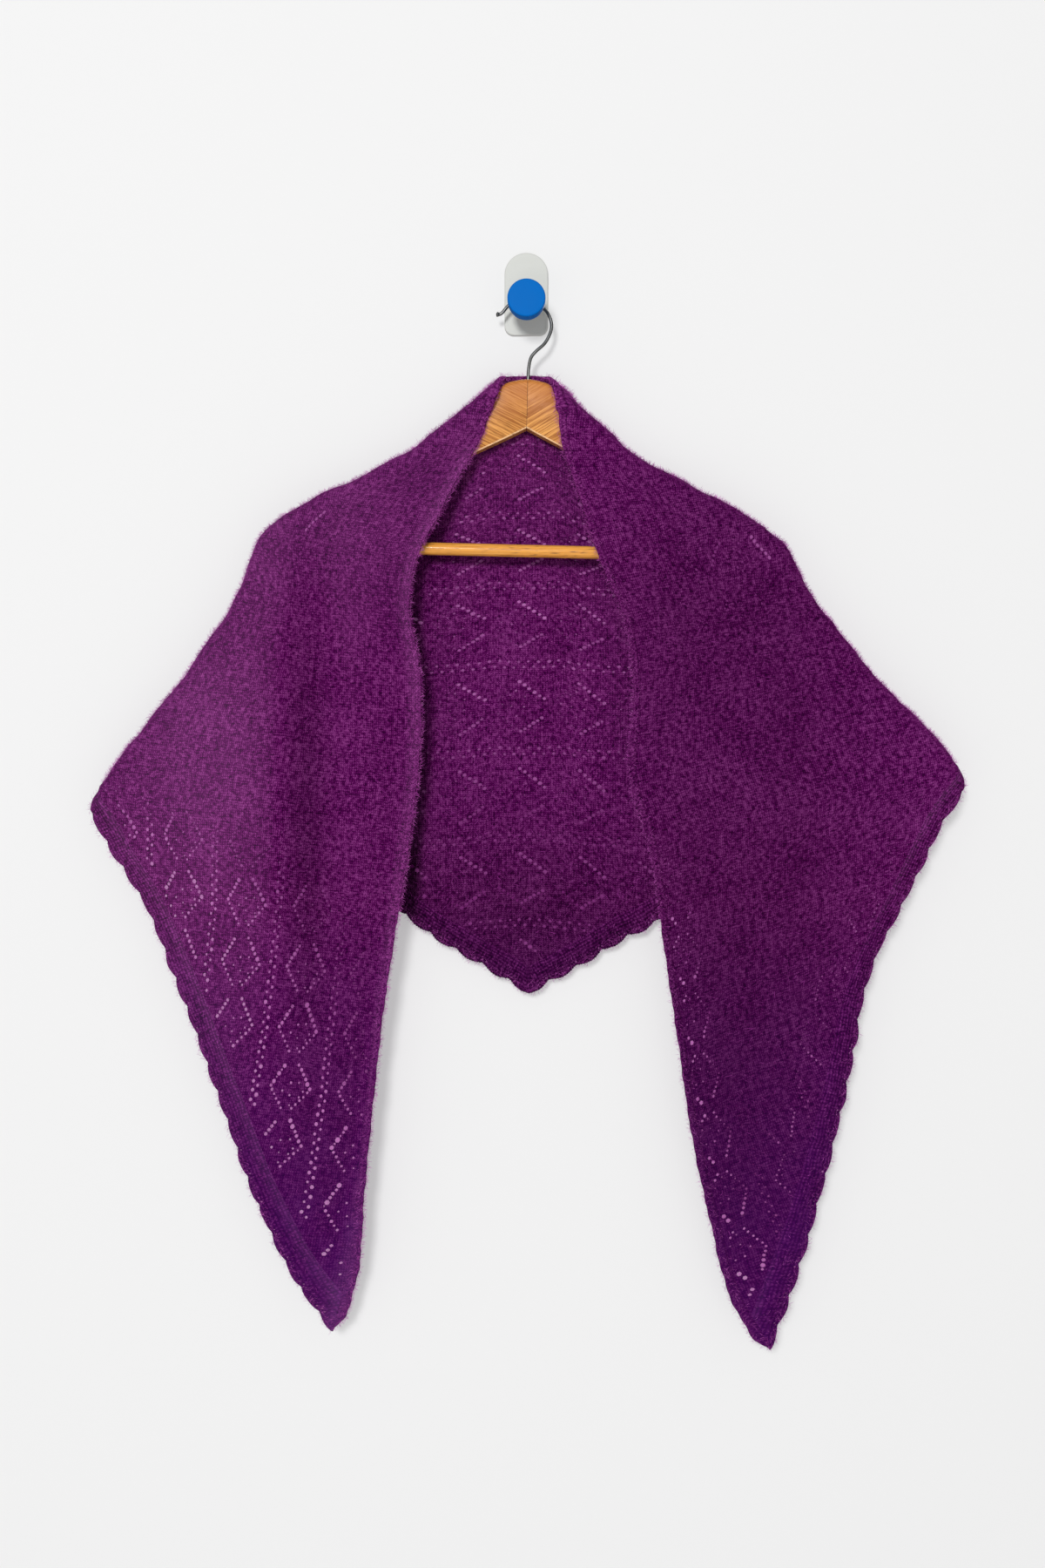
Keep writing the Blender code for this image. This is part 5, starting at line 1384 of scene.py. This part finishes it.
length = add_node(halo, "FunctionNodeRandomValue", {
    2: enter["Shortest"], 3: enter["Longest"]}, data_type="FLOAT")
lay = add_node(halo, "GeometryNodeInstanceOnPoints", {
    "Points": scatter.outputs["Points"], "Instance": hair_in.outputs["Geometry"],
    "Rotation": both.outputs[0], "Scale": length.outputs[1]})
made_real(halo, lay.outputs[0], enter["Material"])


# %% One hair, and its finish
def one_hair(long, wide):
    """A slim closed sliver along X, in millimetres, with a bend in its middle."""
    middle = [(0.42 * long, wide / 2 * math.cos(t) + 0.05 * long, wide / 2 * math.sin(t) + 0.11 * long)
              for t in (0.0, 2 * math.pi / 3, 4 * math.pi / 3)]
    points = [(0.0, 0.0, -0.1)] + middle + [(long, -0.04 * long, 0.07 * long)]
    faces = [(0, 2, 1), (0, 3, 2), (0, 1, 3), (1, 2, 4), (2, 3, 4), (3, 1, 4)]
    return face_outwards(make_piece("hair", points, faces))


HAIR_CLOUDS = 150.0
mohair = mottled_yarn("mohair", (0.1, 0.004, 0.09), (0.4, 0.045, 0.36), HAIR_CLOUDS)
rim_mohair = mottled_yarn("rim_mohair", (0.26, 0.015, 0.23), (0.66, 0.14, 0.58), HAIR_CLOUDS)
print("hair:", mohair.name, rim_mohair.name)

# %% Where the hair is thick
FRONT_PAST_FOLD = 12.0             # the fronts' hair reaches this far over the fold
EDGE_HAIR_WIDTH = 30.0
LEFT_EDGE_MORE, RIGHT_EDGE_MORE = 0.6, 0.3
REAR_SHARE, HIDDEN_SHARE = 0.75, 0.12
SEEN_INSIDE = 150.0                # the back shows between the fronts inside this
FOLD_STRIP = (-3.6, -1.2, 1.2, 3.6)


def hair_shares(piece):
    """Adds attributes that say how thick the hair is, one for each patch of the cloth."""
    mesh = piece.data
    flat = np.zeros(len(mesh.loops) * 2, dtype=np.float32)
    mesh.uv_layers["flat_cut"].data.foreach_get("uv", flat)
    place = np.zeros((len(mesh.vertices), 2))
    place[corner_points(mesh)] = flat.reshape(-1, 2) / MM
    right_side = np.arange(len(place)) < len(place) // 2
    s, v = place[:, 0], place[:, 1]
    front = v <= fold_line(np.abs(s)) + FRONT_PAST_FOLD
    near_edge = ramp(np.abs(v), EDGE_HAIR_WIDTH, -EDGE_HAIR_WIDTH)
    seen = (np.abs(s) < SEEN_INSIDE) & (v > fold_line(np.abs(s)))
    shares = {
        "left": (right_side & front & (s < 0)) * (1.0 + LEFT_EDGE_MORE * near_edge),
        "right": (right_side & front & (s >= 0)) * (1.0 + RIGHT_EDGE_MORE * near_edge),
        "rear": (right_side & ~front) * REAR_SHARE,
        "inner": (~right_side) * np.where(seen, 1.0, HIDDEN_SHARE),
    }
    for patch, values in shares.items():
        float_layer(mesh, patch, values)
    return list(shares)


def fold_strip():
    """A strip of the cloth's right side along the fold, where the outline of the shoulders shows."""
    u = stations(NECK_AT + 6.0, CORNER_IN, 3.0)
    rows = [hang(side * u, np.maximum(fold_line(u) + off, 1.0), CLOTH_THICK / 2)
            for side in (-1, 1) for off in FOLD_STRIP]
    faces = []
    for row in (0, 1, 2, 4, 5, 6):
        a = row * len(u) + np.arange(len(u) - 1)
        quads = np.stack([a, a + 1, a + 1 + len(u), a + len(u)], axis=1)
        faces += (quads if row > 2 else quads[:, ::-1]).tolist()
    piece = make_piece("fold_strip", np.concatenate(rows), faces)
    if sum(face.normal.z * face.area for face in piece.data.polygons) < 0:
        piece.data.flip_normals()
    float_layer(piece.data, "rim", np.ones(len(piece.data.vertices)))
    return piece


patches = hair_shares(lace_cloth)
rim_of_edging = np.clip(1.0 - hem_distance_inside(*edging_net[0].T) / 3.0, 0.05, 1.0)
float_layer(scalloped_edging.data, "rim", np.tile(rim_of_edging, 2))
float_layer(rolled_selvedge.data, "rim", np.outer(
    1.0 + (places < -60.0), np.clip(0.5 - np.cos(turns), 0.1, 1.0)).ravel())
print("patches of hair:", patches)

# %% The hair itself
hair, rim_hair, fold_hair = one_hair(6.4, 0.2), one_hair(4.0, 0.17), one_hair(5.0, 0.2)
hair_pieces = []
for seed, patch in enumerate(patches):
    hair_pieces.append(grown(lace_cloth, halo, f"mohair_{patch}", {
        "Hair": hair, "Thickly": patch, "Seed": seed + 3, "Hairs a Square Metre": 95000.0, "Lift": 0.45,
        "Material": mohair}))
hair_pieces.append(grown(fold_strip(), halo, "mohair_fold", {
    "Hair": fold_hair, "Thickly": "rim", "Seed": 7, "Hairs a Square Metre": 2800000.0, "Lift": 1.3,
    "Shortest": 0.4, "Longest": 1.3, "Material": rim_mohair}, True))
for trim, amount in ((scalloped_edging, 620000.0), (rolled_selvedge, 520000.0)):
    hair_pieces.append(grown(trim, halo, f"mohair_{trim.name}", {
        "Hair": rim_hair, "Thickly": "rim", "Hairs a Square Metre": amount, "Lift": 1.1, "Seed": 11,
        "Material": rim_mohair}))
for sliver in (hair, rim_hair, fold_hair):
    bpy.data.objects.remove(sliver)
print("hair triangles:", {piece.name: len(piece.data.polygons) for piece in hair_pieces})

# %% [markdown]
# ## The wooden hanger
# Two halves of honey-coloured wood are glued in the middle, each cut with its grain along the arm, so the grain
# meets in a herringbone. The arm is a run of rounded sections, arched on top, with a thin chamfer along its lower
# front edge. A round bar joins the two arms. One wood group draws long grain, streaks and pores.

# %% The hanger's sizes, in millimetres
HANGER_X = 1.2            # the hook's stem, to the right of the peg
HANGER_TILT = math.radians(-1.35)
JOINT_GAP = 0.15          # half the gap between the two glued arms
# columns: out, top, bottom, off, thick
ARM = [
    (JOINT_GAP, 65.6, 108.8, 22, 14), (10, 67, 114, 22, 14), (22, 71.7, 120, 22, 14),
    (38, 89, 128, 22.5, 13), (60, 108.5, 139, 23, 12.5), (94, 137, 158, 25, 12.5),
    (125, 154.5, 175, 27.5, 12.5), (150, 168, 189, 30, 12.5), (170, 178, 204, 32, 12.5),
    (182, 184, 219, 33, 12.5), (194, 190, 226, 34, 12.5), (204, 197, 228, 35, 12),
    (212, 204, 226, 35.5, 10), (217, 211, 219, 35.5, 6),
]
ARM_STEPS, ARM_ROUND, ARM_CHAMFER, ARM_SHARP = 4, 4.6, 1.3, 35.0
BAR_RADIUS, BAR_HALF, BAR_DOWN, BAR_OFF = 5.5, 196.0, 216.0, 32.5
BAR_SIDES, BAR_PLACES = 32, 40
WIRE_RADIUS, HOOK_SIDES, HOOK_STEPS = 1.45, 16, 8
# columns: x, z, off
HOOK = [
    (1.2, -81.0, 22.0), (1.4, -66.0, 22.0), (2.2, -54.0, 21.2), (4.2, -45.6, 20.6),
    (8.5, -40.1, 20.2), (16.0, -33.0, 19.4), (21.0, -23.5, 18.8), (22.0, -15.5, 18.3),
    (19.4, -7.6, 17.8), (14.9, -1.8, 17.5), (8.2, 5.2, 17.2), (0.0, 8.0, 17.0),
    (-9.0, 5.6, 16.8), (-16.3, 0.0, 16.7), (-20.9, -5.4, 16.6), (-23.8, -7.0, 16.5),
    (-26.4, -6.6, 16.5),
]
TIP_RADII = [1.5, 1.65, 1.9, 2.1, 2.2, 2.15, 1.9, 1.4, 0.7]


def fine_rows(rows, steps):
    """A table's rows with steps between each two, on a smooth curve through them."""
    numbered = [(i, *row) for i, row in enumerate(rows)]
    return along_table(numbered, np.arange((len(rows) - 1) * steps + 1) / steps)


print("arm sections:", len(fine_rows(ARM, ARM_STEPS)), "hook places:", len(fine_rows(HOOK, HOOK_STEPS)))

# %% The wood group
wood, enter, leave = new_group("straight_grain", {
    "Place": None, "Light": (0.77, 0.355, 0.09), "Deep": (0.35, 0.11, 0.017), "Pore": (0.2, 0.08, 0.02),
    "Contrast": 1.0, "Shine": 0.45}, ("Color", "Roughness", "Height"))
place = enter["Place"]
bands = noise(wood, stretched(wood, place, (9.0, 70.0, 120.0)), 1.0, 3.0, 0.55)
streaks = noise(wood, stretched(wood, place, (22.0, 420.0, 1000.0)), 1.0, 3.0, 0.62)
pores = noise(wood, stretched(wood, place, (130.0, 900.0, 1700.0)), 1.0)
tone = (streaks - 0.5).times_plus(2.7, (bands - 0.5).times_plus(0.9, 0.5))
tone = (tone - 0.5).times_plus(enter["Contrast"], 0.5, clamp=True)
pore = (pores * streaks.times_plus(0.8, 0.6)).spread(0.56, 0.72)
grain = blend(wood, tone, enter["Light"], enter["Deep"])
fill(wood, leave, {"Color": blend(wood, pore * 0.75, grain, enter["Pore"]),
                   "Roughness": pore.times_plus(0.25, enter["Shine"]), "Height": pore.times_plus(-1.0, 1.0)})
print("wood group:", len(wood.nodes), "nodes")

# %% The woods
DARKER_TOP = (0.5, 0.165, 0.035)          # the head of the hanger is darker towards its top
DARKER_TOP_FROM, DARKER_TOP_TO, DARKER_TOP_SHARE = -0.105, -0.08, 0.7
PORE_DEEP = 0.12 * MM


def wood_material(name, turn_down, values, coat=0.04, shift=0.0):
    """Wood whose grain runs along X, turned down by an angle in the wall's plane."""
    material, tree, shader = new_material(name, (0.6, 0.27, 0.07), 0.35, inputs={
        "Coat Weight": coat, "Coat Roughness": 0.18, "Specular IOR Level": 0.2})
    where = object_place(tree)
    turned = add_node(tree, "ShaderNodeMapping", {
        0: where, "Rotation": (0.0, turn_down, 0.0), "Location": (shift, shift * 0.7, shift * 1.3)})
    body = add_node(tree, "ShaderNodeGroup", node_tree=wood)
    fill(tree, body, {"Place": turned.outputs[0], **values})
    darker_top = split(tree, where)[2].spread(DARKER_TOP_FROM, DARKER_TOP_TO) * DARKER_TOP_SHARE
    fill(tree, shader, {
        "Base Color": blend(tree, darker_top, body.outputs["Color"], DARKER_TOP), "Roughness": body.outputs["Roughness"],
        "Normal": bumped(tree, body.outputs["Height"], 0.5, PORE_DEEP)})
    return material


left_wood = wood_material("honey_wood_left", math.radians(-27), {"Contrast": 1.5})
right_wood = wood_material("honey_wood_right", math.radians(31), {"Contrast": 1.9}, shift=0.37)
chamfer_wood = wood_material("chamfer_wood", 0.0, {
    "Light": (0.92, 0.6, 0.34), "Deep": (0.78, 0.44, 0.19), "Contrast": 0.5})
bar_wood = wood_material("varnished_bar", 0.0, {
    "Light": (0.86, 0.4, 0.075), "Deep": (0.62, 0.23, 0.025), "Contrast": 0.9, "Shine": 0.16}, 0.4, 0.21)
print("woods:", left_wood.name, right_wood.name, chamfer_wood.name, bar_wood.name)


# %% The arms
def tilt(points):
    """The hanger hangs a little low on the right: turn it about its stem."""
    turn = Matrix.Rotation(-HANGER_TILT, 3, "Y")
    pivot = Vector((HANGER_X, 0.0, -ARM[0][1]))
    return [turn @ (Vector(point) - pivot) + pivot for point in points]


def arm_section(top, bottom, off, thick):
    """Points of an upright section, each as off the wall and down, round from its front."""
    half = thick / 2
    back = off - half
    round_top = min(ARM_ROUND, half - 0.4, (bottom - top) / 2 - 0.4)
    cut = min(ARM_CHAMFER, half / 2, (bottom - top) / 4)
    turns = np.linspace(0.0, math.pi / 2, 6)
    ring = [(back + round_top - round_top * math.sin(t), top + round_top - round_top * math.cos(t))
            for t in turns]
    foot = [(back, bottom - cut), (back + cut * 0.5, bottom - cut * 0.1), (back + cut, bottom)]
    ring += foot + [(2 * off - a, b) for a, b in foot[::-1]]
    ring = [(2 * off - a, b) for a, b in ring]
    ring += [(back + round_top - round_top * math.cos(t), top + round_top - round_top * math.sin(t))
             for t in turns]
    return ring


def make_arm(side, name, material):
    fine = fine_rows(ARM, ARM_STEPS)
    points = []
    for out, top, bottom, off, thick in fine:
        ring = arm_section(top, bottom, off, thick)
        points += [(HANGER_X + side * out, -ring_off, -ring_down) for ring_off, ring_down in ring]
    count = len(ring)
    arm = face_outwards(make_piece(name, tilt(points), tube_faces(len(fine), count),
                                   [material, chamfer_wood], smooth_angle=ARM_SHARP))
    low_front = [down > bottom - ARM_CHAMFER * 1.2 and ring_off > off for ring_off, down in ring]
    for k, face in enumerate(arm.data.polygons):
        if k < (len(fine) - 1) * count and low_front[k % count] and low_front[(k + 1) % count]:
            face.material_index = 1
    return arm


arm_left = make_arm(-1, "wooden_arm_left", left_wood)
arm_right = make_arm(1, "wooden_arm_right", right_wood)
print("arms, in cm3:", volumes(arm_left, arm_right))


# %% The bar and the wire hook
def swept(name, places, radii, sides, material):
    """A round rod or wire through the places, in millimetres."""
    across, points = Vector((0.0, 1.0, 0.0)), []
    for i, middle in enumerate(places):
        axis = (places[min(i + 1, len(places) - 1)] - places[max(i - 1, 0)]).normalized()
        across = (across - axis * across.dot(axis)).normalized()
        up = axis.cross(across)
        for k in range(sides):
            t = 2 * math.pi * k / sides
            points.append(middle + radii[i] * (math.cos(t) * across + math.sin(t) * up))
    return face_outwards(make_piece(name, points, tube_faces(len(places), sides), [material]))


wire, tree, shader = new_material("nickel_wire", (0.36, 0.36, 0.37), 0.3, 1.0)
rub = noise(tree, stretched(tree, object_place(tree), (300.0, 300.0, 60.0)), 1.0, 3.0)
fill(tree, shader, {"Base Color": blend(tree, rub, (0.08, 0.08, 0.08), (0.22, 0.22, 0.215)),
                    "Roughness": rub.times_plus(0.25, 0.2)})
bar_ends = tilt([(HANGER_X + side * BAR_HALF, -BAR_OFF, -BAR_DOWN) for side in (-1, 1)])
bar_places = [bar_ends[0].lerp(bar_ends[1], share) for share in np.linspace(0.0, 1.0, BAR_PLACES)]
bar = swept("bar", bar_places, [BAR_RADIUS] * BAR_PLACES, BAR_SIDES, bar_wood)
hook_places = [Vector((x, -off, z)) for x, z, off in fine_rows(HOOK, HOOK_STEPS)]
hook_radii = [WIRE_RADIUS] * (len(hook_places) - len(TIP_RADII)) + TIP_RADII
hook = swept("wire_hook", hook_places, hook_radii, HOOK_SIDES, wire)
print("bar and hook, in cm3:", volumes(bar, hook))

# %% [markdown]
# ## The wall hook
# A flat plate is stuck to the wall, a short peg stands out of it and a bright round knob closes the peg. The plate
# is an outline with a rounded edge; the peg and the knob are turned from profiles.

# %% The wall hook's sizes, in millimetres
PLATE_WIDTH, PLATE_THICK = 38.4, 3.0
PLATE_TOP, PLATE_BOTTOM = 51.3, -21.7
PLATE_FOOT_RADIUS, PLATE_ROUND, ROUND_STEPS = 8.0, 1.3, 5
HEAD_POINTS, FOOT_POINTS, PLATE_SHARP = 41, 10, 30.0
FIT = 0.3                 # faces that touch are drawn this far apart
PEG_RADIUS, PEG_BACK = 6.2, PLATE_THICK + FIT
KNOB_RADIUS, KNOB_BACK, KNOB_FRONT = 16.4, 23.0, 45.0
PEG_SIDES, KNOB_SIDES, TURNED_SHARP = 48, 72, 40.0
# columns: off the wall, radius
PEG_PROFILE = [
    (PEG_BACK, 0.0), (PEG_BACK, PEG_RADIUS + 0.5), (PEG_BACK + 0.7, PEG_RADIUS), (12.0, PEG_RADIUS - 0.15),
    (KNOB_BACK - FIT, PEG_RADIUS), (KNOB_BACK - FIT, 0.0),
]
KNOB_PROFILE = [
    (KNOB_BACK, 0.0), (KNOB_BACK, 9.6), (KNOB_BACK + 0.4, 10.8), (KNOB_BACK + 3.0, 13.9),
    (KNOB_BACK + 7.0, 15.8), (KNOB_BACK + 11.0, 16.35), (KNOB_BACK + 15.0, KNOB_RADIUS),
    (KNOB_FRONT - 1.5, KNOB_RADIUS), (KNOB_FRONT - 0.9, KNOB_RADIUS - 0.12),
    (KNOB_FRONT - 0.35, KNOB_RADIUS - 0.5), (KNOB_FRONT - 0.08, KNOB_RADIUS - 1.1),
    (KNOB_FRONT, KNOB_RADIUS - 1.7), (KNOB_FRONT + 0.15, KNOB_RADIUS * 0.5), (KNOB_FRONT + 0.2, 0.0),
]
print("plate:", PLATE_WIDTH, "by", PLATE_TOP - PLATE_BOTTOM, "mm, knob:", 2 * KNOB_RADIUS, "mm across")


# %% Plate, peg and knob
def moulded(name, colour, other, roughness):
    """Moulded plastic: an even colour with faint clouds and a fine skin."""
    material, tree, shader = new_material(name, colour, roughness, inputs={"Specular IOR Level": 0.05})
    where = object_place(tree)
    cloud = noise(tree, where, 60.0, 3.0)
    fill(tree, shader, {"Base Color": blend(tree, cloud, colour, other),
                        "Roughness": cloud.times_plus(0.12, roughness - 0.06),
                        "Normal": bumped(tree, noise(tree, where, 1500.0), 0.15, 0.08 * MM)})
    return material


def lathe(name, profile, sides, material):
    """A solid turned about the peg's axis; the profile's ends lie on the axis."""
    points, faces = [], []
    turns = 2 * math.pi * np.arange(sides) / sides
    for off, radius in profile[1:-1]:
        points += [(radius * math.cos(t), -off, radius * math.sin(t)) for t in turns]
    rings = len(profile) - 2
    for ring in range(rings - 1):
        a, b = ring * sides, (ring + 1) * sides
        faces += [(a + i, a + (i + 1) % sides, b + (i + 1) % sides, b + i) for i in range(sides)]
    points += [(0.0, -profile[0][0], 0.0), (0.0, -profile[-1][0], 0.0)]
    last = (rings - 1) * sides
    faces += [(len(points) - 2, (i + 1) % sides, i) for i in range(sides)]
    faces += [(len(points) - 1, last + i, last + (i + 1) % sides) for i in range(sides)]
    return face_outwards(make_piece(name, points, faces, [material], smooth_angle=TURNED_SHARP))


def plate_outline(inwards):
    """The plate's outline as x and z, drawn in all round: a half-round head and two rounded feet."""
    half = PLATE_WIDTH / 2
    wide, foot = half - inwards, PLATE_FOOT_RADIUS - inwards
    outline = [(wide * math.cos(t), PLATE_TOP - half + wide * math.sin(t))
               for t in np.linspace(0, math.pi, HEAD_POINTS)]
    for start, side in ((math.pi, -1), (1.5 * math.pi, 1)):
        outline += [(side * (half - PLATE_FOOT_RADIUS) + foot * math.cos(t),
                     PLATE_BOTTOM + PLATE_FOOT_RADIUS + foot * math.sin(t))
                    for t in np.linspace(start, start + math.pi / 2, FOOT_POINTS)]
    return outline


def make_plate(material):
    """The outline at several depths, drawn in as its front edge rounds over."""
    flat_to = PLATE_THICK - PLATE_ROUND
    depths = [(0.0, 0.0), (flat_to, 0.0)]
    depths += [(flat_to + PLATE_ROUND * math.sin(t), PLATE_ROUND * (1 - math.cos(t)))
               for t in np.linspace(0, math.pi / 2, ROUND_STEPS)[1:]]
    points = [(x, -off, z) for off, inwards in depths for x, z in plate_outline(inwards)]
    faces = tube_faces(len(depths), len(points) // len(depths))
    return face_outwards(make_piece("plate", points, faces, [material], smooth_angle=PLATE_SHARP))


white = moulded("white_plastic", (0.6, 0.61, 0.575), (0.64, 0.65, 0.62), 0.42)
beige = moulded("peg_plastic", (0.62, 0.52, 0.42), (0.7, 0.62, 0.52), 0.45)
blue = moulded("blue_plastic", (0.0, 0.125, 0.46), (0.0, 0.135, 0.5), 0.55)
plate = make_plate(white)
peg = lathe("peg", PEG_PROFILE, PEG_SIDES, beige)
knob = lathe("knob", KNOB_PROFILE, KNOB_SIDES, blue)
print("wall hook, in cm3:", volumes(plate, peg, knob))

# %% [markdown]
# ## Fitting the pieces to the frame
# Every piece rides on the one body and takes the place of the solid that it dresses. The cloth's real cut is
# 1.77 m along the long edge and 0.5485 m deep.

# %% Ride and replace
FITTED = [
    (lace_cloth, ("shawl_back", "shawl_front_left", "shawl_front_right"), "knit_cloth"),
    (scalloped_edging, ("edging_back", "edging_front_left", "edging_front_right"), "knit_edging"),
    (rolled_selvedge, ("selvedge_left", "selvedge_neck", "selvedge_right"), "knit_edging"),
    (bind_off, (), "knit_edging"), *[(ridge, (), "knit_edging") for ridge in ridges],
    *[(hair_piece, (), "knit_cloth") for hair_piece in (mohair_across, *hair_pieces)],
    (arm_left, ("hanger_arm_left",), "honey_wood"), (arm_right, ("hanger_arm_right",), "honey_wood"),
    (bar, ("trouser_bar",), "bar_wood"), (hook, ("hanger_hook",), "nickel_wire"),
    (plate, ("wall_plate",), "white_plastic"), (peg, ("wall_peg",), "peg_plastic"),
    (knob, ("wall_knob",), "blue_plastic"),
]
for piece, nodes, finish in FITTED:
    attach(piece, "root")
    if nodes:
        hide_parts(*nodes)
triangles = {piece.name: sum(len(face.vertices) - 2 for face in piece.data.polygons) for piece, _, _ in FITTED}
print("triangles:", triangles, "in all:", sum(triangles.values()))
